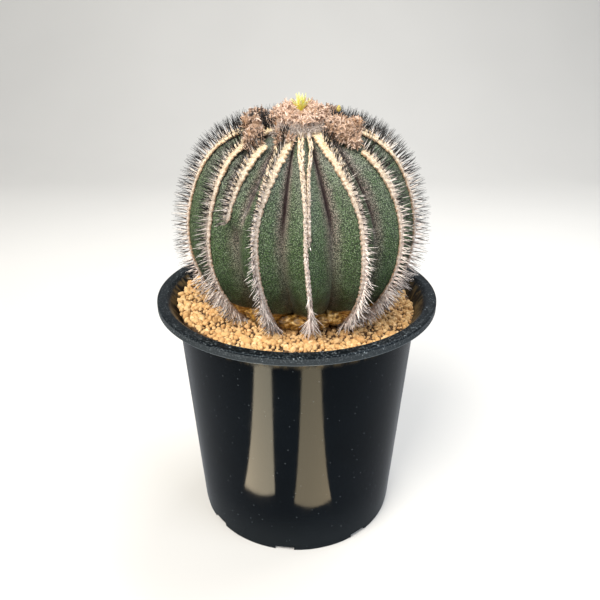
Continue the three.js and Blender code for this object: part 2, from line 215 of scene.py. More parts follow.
PLANT_X = 2.0
CREST = np.array([
    [0, 199], [9, 199.3], [18, 198.6], [26.5, 196.8], [34, 193.2], [40.5, 187.8], [45.4, 180.6],
    [49, 172], [51.3, 163], [52.2, 154], [51.6, 145], [49, 136], [44.6, 127.6], [38.8, 120.4],
    [33.2, 116], [28, 113], [25.5, 109.5], [22, 104], [15, 97], [9, 89], [3, 83],
])
VALLEY = np.array([
    [0, 198.6], [9, 198.3], [17, 196.9], [25, 194.2], [31.3, 189.6], [36.4, 183.6], [40.3, 176.6],
    [43.3, 169], [45.2, 161.4], [46, 153.6], [45.5, 146], [43.4, 138.8], [40, 131.8], [35.6, 125.6],
    [31, 120.8], [27.6, 116.6], [25.2, 112], [21, 105.5], [15, 97], [9, 89], [3, 83],
])
STEM_TOP = 199.0
STEM_TIP = 82.7
VALLEY_STEPS = 24
# Degrees between two crests at which the valley reaches its full depth.
FULL_GAP = 25.0

# The ribs, by number from the front. Places run down a crest from 0 at the crown to 1 at the root's tip.
# azimuths: the crest at the crown, the equator and the foot. settled: where the crown's azimuth has
# given way to the equator's. slim: width of a narrow line of wool. start, end: where the comb starts
# and ends, if not where most do. first_spine: where its spines start, if below its wool. fades: where
# a rib that ends half way sinks back into the skin.
RIBS = {
    "01": {"azimuths": (-0.5, 2.4, 6), "settled": 0.36, "slim": 0.72},
    "second_strand": {
        "azimuths": (8.0, 4.0, 6.4), "settled": 0.28, "slim": 0.5, "fades": (0.34, 0.44), "end": 0.41,
    },
    "02": {"azimuths": (20, 29.5, 32), "start": 0.1, "first_spine": 0.15},
    "03": {"azimuths": (47, 55, 50), "start": 0.2},
    "04": {"azimuths": (80, 78, 73), "start": 0.12},
    "05": {"azimuths": (106, 103, 100)},
    "06": {"azimuths": (131, 128, 127)},
    "07": {"azimuths": (152, 154, 153), "start": 0.21},
    "08": {"azimuths": (181, 179, 180)},
    "09": {"azimuths": (207, 205, 203)},
    "10": {"azimuths": (229, 231, 230), "start": 0.21},
    "11": {"azimuths": (256, 257, 260)},
    "12": {"azimuths": (278, 283, 289)},
    "13": {"azimuths": (310, 312, 316)},
    "short_rib": {"azimuths": (329, 323.5, 323.5), "fades": (0.32, 0.42), "start": 0.168, "end": 0.378},
    "14": {"azimuths": (347, 339.5, 343), "start": 0.125},
}
FULL_RIBS = [name for name, rib in RIBS.items() if "fades" not in rib]
COMB_START = 0.086
COMB_END = 0.7
# Widths of the wool along broad and slim ribs, against its width at the equator.
WOOL_PLACES = [0.08, 0.2, 0.35, 0.6, 0.7]
BROAD_WOOL = [3.0, 2.6, 1.4, 1.1, 0.7]
SLIM_WOOL = [1.5, 1.35, 1.0, 1.2, 1.1]
# How dark the spines are along a rib.
SHADE_PLACES = [0.08, 0.22, 0.36, 0.5, 0.7]
SHADES = [0.95, 0.78, 0.6, 0.36, 0.12]

# The sharp fold at the bottom of a valley: its reach up the flanks, and the places where it deepens
# near the crown and eases below.
FOLD_REACH = (0.02, 0.14)
FOLD_DEEPENS = (0.06, 0.14)
FOLD_EASES = (0.34, 0.46)
# Where green skin turns to cork on a crest, how much lower it does so in a valley, over what run, and
# how far the line between them wanders.
CORK_LINE = 0.588
CORK_SAG = 0.064
CORK_BLEND = 0.012
CORK_WANDER = 0.012
# The lip of skin over the end of the short rib: its depth, and where it rises and fades both ways.
LIP_DEPTH = 1.5
LIP_AZIMUTHS = (322.5, 325, 336, 339)
LIP_PLACES = (0.28, 0.37, 0.379, 0.392)
# The folds of cork at the foot of each valley.
CORK_FOLDS = {"radius": 36.2, "height": 121.2, "thick": 3.2, "tall": 3.5, "wide": 4.4}

# Heaps of dried flowers: azimuth and place on a crest, half width, half length, height and lean upright.
TUFTS = [
    ("crown_tuft_left", -37, 0.178, 3.4, 3.5, 9.0, 0.5),
    ("crown_tuft_left", -50, 0.158, 2.3, 2.2, 11.0, 0.6),
    ("crown_tuft_left", -42, 0.15, 2.2, 2.0, 11.6, 0.65),
    ("crown_tuft_right", 41, 0.155, 4.6, 3.8, 9.4, 0.45),
    ("crown_tuft_right", 54, 0.152, 2.8, 2.6, 10.6, 0.5),
    ("crown_tuft_right", 33, 0.128, 2.4, 2.4, 8.2, 0.5),
    ("crown_tuft_right", 43, 0.18, 3.2, 2.2, 5.6, 0.3),
    ("crown_tuft_right_inner", 52, 0.105, 4.4, 4.2, 7.4, 0.4),
    ("crown_tuft_small_1", -13, 0.152, 2.6, 2.8, 4.6, 0.2),
    ("crown_tuft_small_1", -17, 0.165, 1.8, 2.0, 3.6, 0.2),
    ("crown_tuft_small_2", -26, 0.112, 1.8, 1.8, 3.0, 0.2),
    ("crown_tuft_back_1", 152, 0.15, 5, 4.6, 9, 0.3),
    ("crown_tuft_back_2", 229, 0.15, 4.6, 5, 8.5, 0.3),
]
# How much lower a heap is than its tuft, because the flakes on it add the rest.
FLAKE_RISE = 1.2
CENTRE_TUFT = {"x": 1.2, "y": -2.0, "across": 12.6, "along": 13.4, "height": 12.2, "base": 198.8}
# The notch in front that parts the middle tuft's top into two lobes.
NOTCH = {"depth": 4.4, "width": 3.6, "length": 7.0, "shift": -6.0}
# How far a heap spreads at each share of its height.
HEAP_SPREADS = [0.9, 0.97, 1.0, 1.0, 0.99, 0.94, 0.84, 0.7, 0.5, 0.27]
HEAP_RISES = [0.0, 0.07, 0.16, 0.3, 0.44, 0.58, 0.72, 0.83, 0.92, 0.98]

# The middle of the open flower, at the foot of its outer petals.
FLOWER = Vector((1.6, -2.2, 203.6))
# Its rows of petals: foot and tip above FLOWER, their distances out from its middle, width and turn.
PETAL_ROWS = [
    {"name": "outer", "nodes": 6, "count": 9, "foot": 0.0, "tip": 7.0, "inner": 0.8, "outer": 4.4,
     "width": 1.7, "shift": 0.0},
    {"name": "inner", "nodes": 5, "count": 8, "foot": 0.3, "tip": 9.3, "inner": 0.5, "outer": 2.4,
     "width": 1.4, "shift": 0.45},
]

# ---- the pot's outline, in millimetres ----------------------------------------------------------

POT_TOP = 121.0
POT_RIM = 67.5
SHOULDER = (58.2, 111.5)
FOOT = (51.6, 3.2)
FOOT_RING = 51.2
POT_WALL = 1.4
POT_FLOOR = 5.0
NOTCHES = {"count": 8, "turn": -6, "width": 9.5, "depth": 12, "height": 4}
DRAIN_HOLES = {"count": 8, "circle": 34, "radius": 4.0, "middle_radius": 7.0}
GRAVEL_LEVEL = 114.8
# The gravel lies this much lower for each millimetre to the right.
GRAVEL_SLOPE = 0.042
# The hollow in the gravel round the plant: its radius, its level and how fast its side climbs.
HOLLOW = {"radius": 28, "level": 111.8, "climb": 0.55}


def spline(points, place):
    """Points on the smooth line through an outline, at places from 0 to 1."""
    along = np.clip(np.asarray(place, float), 0, 1) * (len(points) - 1)
    before = np.minimum(along.astype(int), len(points) - 2)
    t = (along - before)[..., None]
    p0 = points[np.maximum(before - 1, 0)]
    p1 = points[before]
    p2 = points[before + 1]
    p3 = points[np.minimum(before + 2, len(points) - 1)]
    v0 = (p2 - p0) / 2
    v1 = (p3 - p1) / 2
    return (2 * p1 - 2 * p2 + v0 + v1) * t**3 + (3 * p2 - 3 * p1 - 2 * v0 - v1) * t**2 + v0 * t + p1


def smoothstep(value, low, high):
    """0 below low, 1 above high, and a smooth change between them."""
    t = np.clip((np.asarray(value, float) - low) / (high - low), 0, 1)
    return t * t * (3 - 2 * t)


def hump(value, rise, full, fade, gone):
    """0 outside a stretch and 1 within it, with smooth changes at both ends."""
    return smoothstep(value, rise, full) * (1 - smoothstep(value, fade, gone))


def rib_azimuth(rib, place):
    """Azimuth of a crest at places on the meridian."""
    crown, middle, foot = rib["azimuths"]
    upper = crown + (middle - crown) * smoothstep(place, 0.15, rib.get("settled", 0.4))
    lower = middle + (foot - middle) * smoothstep(place, 0.4, 0.65)
    return np.where(np.asarray(place) < 0.4, upper, lower)


def ridge(azimuth, crests):
    """How far the skin stands out, and the way from the valley's middle, 0, to the crest, 1."""
    crests = np.concatenate([crests[-1:] - 360, crests, crests[:1] + 360])
    after = np.clip(np.searchsorted(crests, azimuth), 1, len(crests) - 1)
    left = crests[after - 1]
    gap = crests[after] - left
    w = np.abs(2 * (azimuth - left) / gap - 1)
    rounded = 0.5 * w + 0.5 * np.sin(w * np.pi / 2)
    return np.stack([1 - np.minimum(1, gap / FULL_GAP) * (1 - rounded), w])


def stand_at(azimuth, place):
    """What ridge says at one place on the meridian, with the ribs that fade out blended in."""
    crests = {name: float(rib_azimuth(rib, place)) for name, rib in RIBS.items()}
    stand = ridge(azimuth, np.array([crests[name] for name in FULL_RIBS]))
    for name, rib in RIBS.items():
        if "fades" in rib:
            shown = 1 - float(smoothstep(place, *rib["fades"]))
            kept = [crests[other] for other in RIBS if other in FULL_RIBS or other == name]
            stand = stand + (ridge(azimuth, np.array(kept)) - stand) * shown
    return stand


def placed(radius, azimuth, height):
    """Points round the plant's axis, from radius, azimuth in degrees and height."""
    turn = np.radians(azimuth)
    return np.stack([PLANT_X + radius * np.sin(turn), -radius * np.cos(turn), height + 0 * radius], axis=-1)


def crest_frames(rib, places):
    """Points on a crest with the outward, across and along directions there."""
    azimuth = rib_azimuth(rib, places)
    turn = np.radians(azimuth)
    at = spline(CREST, places)
    step = 1e-4
    slope = spline(CREST, places + step) - spline(CREST, places - step)
    slope /= np.linalg.norm(slope, axis=1)[:, None]
    level = np.stack([np.sin(turn), -np.cos(turn), 0 * turn], axis=1)
    up = np.array([0.0, 0.0, 1.0])
    normal = level * -slope[:, 1:] + up * slope[:, :1]
    across = np.stack([np.cos(turn), np.sin(turn), 0 * turn], axis=1)
    return placed(at[:, 0], azimuth, at[:, 1]), normal, across, np.cross(normal, across)


def even_places(rib, start, end, pitch):
    """Places on a crest that are a pitch apart along the skin."""
    fine = np.linspace(start, end, 1500)
    points = crest_frames(rib, fine)[0]
    run = np.concatenate([[0], np.cumsum(np.linalg.norm(np.diff(points, axis=0), axis=1))])
    count = max(2, int(round(run[-1] / pitch)) + 1)
    return np.interp(np.linspace(0, run[-1], count), run, fine)


def wall_radius(height):
    """Outer radius of the pot's straight wall."""
    (r0, z0), (r1, z1) = FOOT, SHOULDER
    return r0 + (r1 - r0) * (height - z0) / (z1 - z0)


def soil_height(radius, azimuth):
    """Height of the gravel: higher on the left, with a hollow round the plant."""
    level = GRAVEL_LEVEL - GRAVEL_SLOPE * radius * np.sin(np.radians(azimuth))
    return np.minimum(level, HOLLOW["level"] + HOLLOW["climb"] * np.maximum(0, radius - HOLLOW["radius"]))


def rumple(points, size, seed):
    """Smooth noise from -1 to 1 at points, with features of about the given size."""
    shift = Vector((seed * 17.3, seed * 5.1, seed * 9.7))
    return np.array([noise.noise(Vector(p) / size + shift) for p in points])


# ---- mesh helpers -------------------------------------------------------------------------------


def mesh_object(name, points, faces, attributes=None):
    """An object in the scene from points in millimetres and faces, with float attributes on its points."""
    mesh = bpy.data.meshes.new(name)
    mesh.from_pydata((np.asarray(points) * MM).tolist(), [], [list(map(int, f)) for f in faces])
    for label, values in (attributes or {}).items():
        made = mesh.attributes.new(label, "FLOAT", "POINT")
        made.data.foreach_set("value", np.asarray(values, np.float32).ravel())
    mesh.validate()
    obj = bpy.data.objects.new(name, mesh)
    bpy.context.scene.collection.objects.link(obj)
    return obj


def closed_object(name, points, faces, attributes=None, sharp=None):
    """A smooth object from closed shapes, with its faces turned outwards."""
    obj = mesh_object(name, points, faces, attributes)
    face_outwards(obj)
    smooth(obj, sharp)
    return obj


def grid_faces(rows, columns, looped=True, first=0):
    """Quads over rows of points; looped joins the last column to the first."""
    i = np.arange(rows - 1)[:, None]
    j = np.arange(columns if looped else columns - 1)[None, :]
    k = (j + 1) % columns
    corners = [i * columns + j, i * columns + k, (i + 1) * columns + k, (i + 1) * columns + j]
    return (np.stack(corners, axis=-1).reshape(-1, 4) + first).tolist()


def capped_faces(rows, columns, start, end, first=0):
    """Quads over looped rows of points, with a fan at each end to the points start and end."""
    faces = grid_faces(rows, columns, first=first)
    last = first + (rows - 1) * columns
    for j in range(columns):
        k = (j + 1) % columns
        faces.append([start, first + k, first + j])
        faces.append([end, last + j, last + k])
    return faces


def closed_tube(sections):
    """Points and faces of a closed tube through sections of equal length, capped at both ends."""
    sections = np.asarray(sections)
    rows, columns = sections.shape[:2]
    ends = [sections[0].mean(axis=0), sections[-1].mean(axis=0)]
    hub = rows * columns
    return np.concatenate([sections.reshape(-1, 3), ends]), capped_faces(rows, columns, hub, hub + 1)


def merged(shapes):
    """One list of points and one of faces, from the points and faces of several shapes."""
    points, faces = [], []
    for own_points, own_faces in shapes:
        faces += [[v + len(points) for v in face] for face in own_faces]
        points += own_points.tolist()
    return points, faces


def circle(radius, height, turns, middle=(0, 0, 0)):
    """A level ring of points at angles about a middle."""
    return np.stack([radius * np.cos(turns), radius * np.sin(turns), 0 * turns + height], axis=1) + middle


def face_outwards(obj):
    """Merges double points and turns every face outwards."""
    work = bmesh.new()
    work.from_mesh(obj.data)
    bmesh.ops.remove_doubles(work, verts=work.verts, dist=1e-7)
    bmesh.ops.recalc_face_normals(work, faces=work.faces)
    work.to_mesh(obj.data)
    work.free()


def face_up(obj):
    """Turns an open sheet's faces upwards."""
    if obj.data.polygons[0].normal.z < 0:
        obj.data.flip_normals()


def smooth(obj, sharp=None):
    """Smooth shading, with edges sharper than an angle in degrees kept crisp."""
    obj.data.shade_smooth()
    if sharp is not None:
        obj.data.set_sharp_from_angle(angle=math.radians(sharp))


def lathe(name, outline, steps):
    """A solid turned about the pot's axis from an outline that starts and ends on the axis."""
    turns = np.linspace(0, 2 * np.pi, steps, endpoint=False)
    inner = outline[1:-1]
    points = [(0, 0, outline[0][1]), (0, 0, outline[-1][1])]
    points += [(r * math.sin(t), -r * math.cos(t), z) for r, z in inner for t in turns]
    obj = mesh_object(name, points, capped_faces(len(inner), steps, 0, 1, first=2))
    face_outwards(obj)
    return obj


def rounded(outline, corners, steps=5):
    """The outline with the corners at the given indices rounded to their radii."""
    done = []
    for i, point in enumerate(outline):
        if i not in corners:
            done.append(tuple(point))
            continue
        here = Vector(point)
        back = Vector(outline[i - 1]) - here
        on = Vector(outline[i + 1]) - here
        cut = min(corners[i], 0.49 * back.length, 0.49 * on.length)
        start = here + back.normalized() * cut
        end = here + on.normalized() * cut
        for s in range(steps + 1):
            t = s / steps
            done.append(tuple((1 - t) ** 2 * start + 2 * t * (1 - t) * here + t**2 * end))
    return done


def carve(obj, cutter):
    """Cuts the cutter out of obj and removes the cutter."""
    modifier = obj.modifiers.new("cut", "BOOLEAN")
    modifier.operation = "DIFFERENCE"
    modifier.solver = "EXACT"
    modifier.object = cutter
    keep_evaluated(obj)
    bpy.data.objects.remove(cutter)


def keep_evaluated(obj):
    """Makes the result of obj's modifiers its own plain mesh, and removes the modifiers."""
    bpy.context.view_layer.update()
    evaluated = obj.evaluated_get(bpy.context.evaluated_depsgraph_get())
    result = bpy.data.meshes.new_from_object(evaluated)
    before = obj.data
    obj.modifiers.clear()
    obj.data = result
    result.name = obj.name
    bpy.data.meshes.remove(before)


def finish_piece(obj, material, slot, *nodes):
    """Gives a piece its material, hangs it on the root body and hides the CAD parts that it replaces. The
    slot is not used.
    """
    obj.data.materials.clear()
    obj.data.materials.append(material)
    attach(obj, "root")
    if nodes:
        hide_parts(*nodes)


# ---- node helpers -------------------------------------------------------------------------------


def live(sockets, name):
    """The socket in use with that name."""
    return next(s for s in sockets if s.name == name and s.enabled)


def output(value):
    """The socket behind a value or a node; plain numbers and colours stay as they are."""
    if isinstance(value, Value):
        return value.socket
    if isinstance(value, bpy.types.Node):
        return next(s for s in value.outputs if s.enabled)
    return value


def node(tree, kind, inputs=None, **settings):
    """Adds a node, sets it up, and fills its inputs with plain values or with links."""
    made = tree.nodes.new(kind)
    for key, value in settings.items():
        setattr(made, key, value)
    for key, value in (inputs or {}).items():
        target = made.inputs[key] if isinstance(key, int) else live(made.inputs, key)
        value = output(value)
        if isinstance(value, bpy.types.NodeSocket):
            tree.links.new(value, target)
        elif target.type == "RGBA" and len(value) == 3:
            target.default_value = (*value, 1)
        else:
            target.default_value = value
    return made


class Value:
    """A number worked out by nodes, which adds and multiplies as a plain number does."""

    def __init__(self, tree, source):
        self.tree = tree
        self.socket = output(source)

    def maths(self, operation, other, **settings):
        """A Math node on this value and another."""
        made = node(self.tree, "ShaderNodeMath", {0: self, 1: other}, operation=operation, **settings)
        return Value(self.tree, made)

    def __add__(self, other):
        return self.maths("ADD", other)

    def __sub__(self, other):
        return self.maths("SUBTRACT", other)

    def __mul__(self, other):
        return self.maths("MULTIPLY", other)

    def __pow__(self, other):
        return self.maths("POWER", other)

    def held(self):
        """The value kept within 0 and 1."""
        return self.maths("ADD", 0.0, use_clamp=True)

    def remap(self, low, high, new_low=0.0, new_high=1.0, kind="SMOOTHSTEP"):
        """The value moved from one range to another, and held inside it."""
        limits = {"From Min": low, "From Max": high, "To Min": new_low, "To Max": new_high}
        return Value(self.tree, node(
            self.tree, "ShaderNodeMapRange", {"Value": self, **limits}, interpolation_type=kind,
        ))


class Finish:
    """A material being built: its tree, its shader and the piece's own coordinates."""

    def __init__(self, name, colour, roughness, **sockets):
        self.material = bpy.data.materials.new(name)
        self.material.use_nodes = True
        self.material.diffuse_color = (*colour, 1)
        self.tree = self.material.node_tree
        self.tree.nodes.clear()
        self.shader = node(self.tree, "ShaderNodeBsdfPrincipled", {"Roughness": roughness, **sockets})
        node(self.tree, "ShaderNodeOutputMaterial", {"Surface": self.shader})
        self.where = node(self.tree, "ShaderNodeTexCoord").outputs["Object"]

    def noise(self, size, detail=3.0, roughness=0.55, stretch=None):
        """Noise with features of the given size in millimetres."""
        where = self.where
        if stretch:
            where = node(self.tree, "ShaderNodeMapping", {"Vector": where, "Scale": stretch})
        made = node(
            self.tree, "ShaderNodeTexNoise",
            {"Vector": where, "Scale": 1000 / size, "Detail": detail, "Roughness": roughness},
        )
        return Value(self.tree, live(made.outputs, "Fac"))

    def cells(self, size, feature="F1"):
        """Distance within scattered cells of the given size in millimetres."""
        made = node(
            self.tree, "ShaderNodeTexVoronoi", {"Vector": self.where, "Scale": 1000 / size},
            feature=feature,
        )
        return Value(self.tree, made.outputs["Distance"])

    def read(self, name):
        """A float attribute of the piece."""
        made = node(self.tree, "ShaderNodeAttribute", attribute_name=name)
        return Value(self.tree, made.outputs["Fac"])

    def height(self):
        """Height of a point above the foot of the pot, in metres."""
        return Value(self.tree, node(self.tree, "ShaderNodeSeparateXYZ", {0: self.where}).outputs["Z"])

    def radius(self):
        """Distance of a point from the pot's axis, in metres."""
        flat = vector_maths(self.tree, "MULTIPLY", self.where, (1, 1, 0))
        return Value(self.tree, vector_maths(self.tree, "LENGTH", flat).outputs["Value"])

    def blend(self, factor, below, above):
        """A colour mixed from two."""
        made = node(
            self.tree, "ShaderNodeMix", {"Factor": factor, "A": below, "B": above}, data_type="RGBA",
        )
        return live(made.outputs, "Result")

    def ramp(self, value, stops):
        """A run of colours over a value, from (position, colour) stops."""
        made = node(self.tree, "ShaderNodeValToRGB", {0: value})
        elements = made.color_ramp.elements
        while len(elements) < len(stops):
            elements.new(0.5)
        for element, (position, colour) in zip(elements, stops):
            element.position = position
            element.color = (*colour, 1)
        return made.outputs["Color"]

    def colour(self, value):
        """Links the shader's colour."""
        self.tree.links.new(output(value), self.shader.inputs["Base Color"])

    def rough(self, value):
        """Links the shader's roughness."""
        self.tree.links.new(output(value), self.shader.inputs["Roughness"])

    def bump(self, height, millimetres, strength=1.0):
        """Adds relief of the given depth."""
        made = node(
            self.tree, "ShaderNodeBump",
            {"Height": height, "Distance": millimetres * MM, "Strength": strength},
        )
        self.tree.links.new(made.outputs["Normal"], self.shader.inputs["Normal"])


def vector_maths(tree, operation, first, second=None, scale=None):
    """A Vector Math node."""
    inputs = {0: first}
    if second is not None:
        inputs[1] = second
    if scale is not None:
        inputs["Scale"] = scale
    return node(tree, "ShaderNodeVectorMath", inputs, operation=operation)


# ---- materials ----------------------------------------------------------------------------------


def plastic_finish(s):
    """Glossy black plastic with dust and scratches on the rim, soil on the inner wall, a painted sheen on
    the skirt and a painted highlight along its lower edge.
    """
    gloss = {"Specular IOR Level": 0.12, "Specular Tint": (0.66, 0.86, 1.0, 1.0)}
    f = Finish("pot_plastic", s.plastic, 0.1, **gloss)
    height = f.height()
    radius = f.radius()
    top = POT_TOP * MM
    rim = POT_RIM * MM
    on_rim = height.remap(top - 0.0045, top - 0.0005) * radius.remap(rim - 0.0075, rim - 0.0053)
    # A slanting line through the flare parts its inner face from its outer one.
    inner_wall = (radius - height * 0.33).remap(0.0223, 0.0215)
    inside = height.remap(top - 0.013, top - 0.0075) * inner_wall
    specks = f.cells(1.4).remap(0.26, 0.12) * f.noise(5.0, 2.0).remap(0.48, 0.66)
    dust = specks + f.noise(0.8, 4.0).remap(0.5, 0.72) * 0.32
    rim_dust = (dust * on_rim).held()
    scratches = f.noise(1.4, 3.0, stretch=(1, 1, 9)).remap(0.62, 0.7) * f.noise(14).remap(0.55, 0.75)
    wall_specks = f.cells(3.6).remap(0.1, 0.04)
    foot = height.remap(0.03, 0.0)
    haze = scratches * 0.06 + wall_specks * 0.22 + foot * 0.03
    skirt = radius.remap(rim - 0.0011, rim - 0.0007)
    # Painted sheen on the skirt's face and a painted highlight along its lower edge, both in the dust
    # colour.
    skirt_sheen = skirt * height.remap(top - 0.0006, top - 0.001, 0.0, 0.1)
    lower_edge_highlight = skirt * height.remap(top - 0.0034, top - 0.0037, 0.0, 0.45)
    plastic = f.blend(f.noise(40).remap(0.3, 0.7), s.plastic, srgb(10, 14, 18))
    with_skirt_sheen = f.blend(skirt_sheen.maths("MAXIMUM", lower_edge_highlight), plastic, s.dust)
    dusty = f.blend((rim_dust * 0.8).maths("MAXIMUM", haze).held(), with_skirt_sheen, s.dust)
    streaks = f.noise(3.0, 4.0, stretch=(1, 1, 0.35)).remap(0.42, 0.62)
    f.colour(f.blend(streaks * inside, dusty, s.deposit))
    worn = on_rim * 0.22 + inside * 0.4
    f.rough((f.noise(9).remap(0.3, 0.7, 0.06, 0.11) + worn + rim_dust).held())
    f.bump(f.noise(0.5, 3.0), 0.02, 0.35)
    return f.material


def mix_finish(s):
    """Dark, crumbly potting mix."""
    f = Finish("potting_mix", s.gap, 0.95)
    grain = f.noise(1.1, 5.0)
    dark = f.blend(grain.remap(0.35, 0.65), srgb(34, 26, 18), srgb(88, 64, 42))
    f.colour(f.blend(f.cells(4.3).remap(0.22, 0.12), dark, srgb(150, 132, 108)))
    f.bump(f.cells(2.6) + grain, 0.9)
    return f.material


def gravel_finish(s):
    """Fired clay granules: dusty, porous and each a little different."""
    f = Finish("akadama", s.tan, 0.93)
    tones = [(0.0, s.brown), (0.28, s.tan), (0.72, s.light), (1.0, srgb(236, 204, 156))]
    each = f.ramp(f.read("tone"), tones)
    patches = f.blend(f.noise(1.3, 4.0).remap(0.35, 0.7), each, s.tan)
    pores = f.cells(0.55)
    shade = f.blend(pores.remap(0.3, 0.12) * 0.45, patches, s.brown)
    f.colour(f.blend(f.noise(6).remap(0.55, 0.8) * 0.35, shade, srgb(196, 134, 92)))
    f.bump(f.noise(0.6, 4.0) + pores * 0.6, 0.22)
    return f.material


def bed_finish(s):
    """The fines and shadows between the granules."""
    f = Finish("akadama_fines", s.gap, 0.97)
    f.colour(f.blend(f.noise(0.9, 5.0).remap(0.4, 0.66), s.gap, srgb(128, 92, 56)))
    f.bump(f.noise(0.8, 4.0), 0.5)
    return f.material


def skin_finish(s):
    """Grey-green skin with waxy specks, purplish valleys, folds darkened with painted shade and golden cork
    at the base; a painted sheen on the shoulders and painted shade on the lower skin.
    """
    f = Finish("stem_skin", s.flank, 0.52, **{"Specular IOR Level": 0.3})
    place = f.read("place")
    cork = f.read("cork")
    # Lighter at the shoulder and darker towards the base: partly the skin's own colours, partly a painted
    # sheen on the shoulder and painted shade low down.
    run = f.ramp(place, [
        (0.08, srgb(76, 80, 66)), (0.24, s.shoulder), (0.4, s.flank), (0.5, srgb(52, 78, 34)),
        (0.58, s.base), (0.76, srgb(38, 40, 20)),
    ])
    patches = f.blend(f.noise(7, 3.0).remap(0.4, 0.66), run, srgb(78, 100, 66))
    green = f.blend(f.noise(2.4, 3.0).remap(0.35, 0.7) * 0.5, patches, run)
    ragged = f.read("flank") + (f.noise(3.2, 4.0) - 0.5) * 0.3
    purple = f.blend(ragged.remap(0.46, 0.06) * place.remap(0.56, 0.3, 0.25, 0.9), green, s.valley)
    speckle = f.cells(1000 * s.speck_pitch).remap(0.46, 0.2) * f.noise(0.6, 3.0).remap(0.34, 0.54, 0.0, 0.8)
    waxed = f.blend(speckle * place.remap(0.62, 0.36, 0.3, 1.0), purple, s.speck)
    pitted = f.blend(f.cells(0.48).remap(0.38, 0.58) * 0.85, waxed, srgb(22, 30, 20))
    # The crease at the bottom of each valley is darkened with painted shade.
    fold_shade = f.read("fold").remap(0.2, 0.8) * place.remap(0.42, 0.33, 0.14, 0.95)
    f.colour(f.blend(cork, f.blend(fold_shade, pitted, s.fold), cork_colours(f, s)))
    f.rough(cork.remap(0, 1, 0.42, 0.36))
    f.bump(f.cells(0.6, "SMOOTH_F1") * -1.0 + f.noise(1.2, 4.0), 0.26, 0.8)
    return f.material


def cork_colours(f, s):
    """Golden bark with dark cracks and pale patches of painted highlight."""
    # The palest colour stands for painted highlights on the glossy cork.
    return f.ramp(f.noise(2.2, 5.0, stretch=(1, 1, 2.2)), [
        (0.3, srgb(52, 34, 12)), (0.43, srgb(132, 92, 34)), (0.56, s.cork), (0.68, srgb(232, 204, 146)),
    ])


def cork_finish(s):
    """Glossy golden cork."""
    f = Finish("cork", s.cork, 0.28)
    f.colour(f.blend(f.cells(2.2).remap(0.5, 0.75) * 0.6, cork_colours(f, s), srgb(60, 40, 16)))
    f.bump(f.noise(1.2, 5.0, stretch=(1, 1, 2)), 0.5)
    return f.material


def wool_finish(s):
    """Felted wool, yellower at the crown and greyer at the foot, stained along its edges."""
    f = Finish("rib_wool", s.middle, 0.95, **{"Sheen Weight": 0.25, "Sheen Roughness": 0.5})
    place = f.read("place")
    run = f.ramp(place, [(0.1, s.crown), (0.34, s.middle), (0.62, s.foot)])
    tangle = f.noise(0.7, 5.0, 0.7)
    felt = f.blend(tangle.remap(0.42, 0.62), f.blend(0.55, run, s.stain), run)
    flecks = f.noise(1.7, 4.0).remap(0.54, 0.66) * place.remap(0.34, 0.14)
    rusty = f.blend(flecks * 0.55, felt, s.fleck)
    edge = f.read("edge") + (f.noise(1.3) - 0.5) * 0.6
    f.colour(f.blend(edge.remap(0.72, 1.02) * 0.8, rusty, s.stain))
    f.bump(tangle, 0.35)
    return f.material


def spine_finish(s):
    """Spines that run from pale feet to dark tips near the crown, and stay pale lower down."""
    f = Finish("spines", s.pale, 0.42, **{"Specular IOR Level": 0.45})
    tone = f.read("tone")
    darkness = f.read("shade") + f.read("along") * 0.8 + (tone - 0.5) * 0.9
    pale = f.blend(tone.remap(0.2, 0.9), s.pale, s.rose)
    f.colour(f.blend(darkness.remap(0.7, 1.05), pale, s.dark))
    f.bump(f.noise(0.4, 3.0, stretch=(1, 1, 0.3)), 0.05)
    return f.material


def tuft_finish(s):
    """Dried flower remains: papery, pinkish brown, rusty in places."""
    f = Finish("dried_flowers", s.light, 0.9, **{"Sheen Weight": 0.15})
    tones = [(0.0, s.dark), (0.22, s.rust), (0.6, s.light), (1.0, srgb(228, 200, 180))]
    worn = f.blend(f.noise(1.8, 4.0).remap(0.4, 0.68), f.ramp(f.read("tone"), tones), s.rust)
    f.colour(f.blend(f.noise(5.0).remap(0.56, 0.72) * 0.35, worn, srgb(176, 124, 66)))
    f.bump(f.noise(0.5, 4.0), 0.15)
    return f.material


def petal_finish(s):
    """Thin yellow petals, greener at the foot."""
    f = Finish("petal", s.petal, 0.5, **{"Subsurface Weight": 0.15, "Subsurface Scale": 0.0006})
    run = f.ramp(f.read("along"), [(0.05, s.petal_foot), (0.5, s.petal), (0.95, srgb(234, 234, 174))])
    veins = f.noise(0.5, 3.0, stretch=(1, 1, 0.2)).remap(0.4, 0.7)
    f.colour(f.blend(veins * 0.3, run, srgb(228, 228, 140)))
    f.bump(veins, 0.06)
    return f.material


def pollen_finish(s):
    """Dusty yellow stamens."""
    f = Finish("pollen", s.pollen, 0.7)
    f.colour(f.blend(f.noise(0.4).remap(0.3, 0.7), s.pollen, srgb(222, 214, 120)))
    return f.material


def bud_finish(s):
    """A closed bud in dull green-yellow scales."""
    f = Finish("bud", s.bud, 0.6)
    f.colour(f.blend(f.noise(1.0, 4.0).remap(0.35, 0.7), s.bud, srgb(126, 104, 62)))
    f.bump(f.noise(0.7), 0.1)
    return f.material


def floor_finish(s):
    """Smooth, pale, matte floor."""
    f = Finish("studio_floor", s.floor, 0.85)
    f.colour(f.blend(f.noise(260, 2.0).remap(0.3, 0.7), s.floor, tuple(0.97 * v for v in s.floor)))
    return f.material


# ---- geometry node trees ------------------------------------------------------------------------


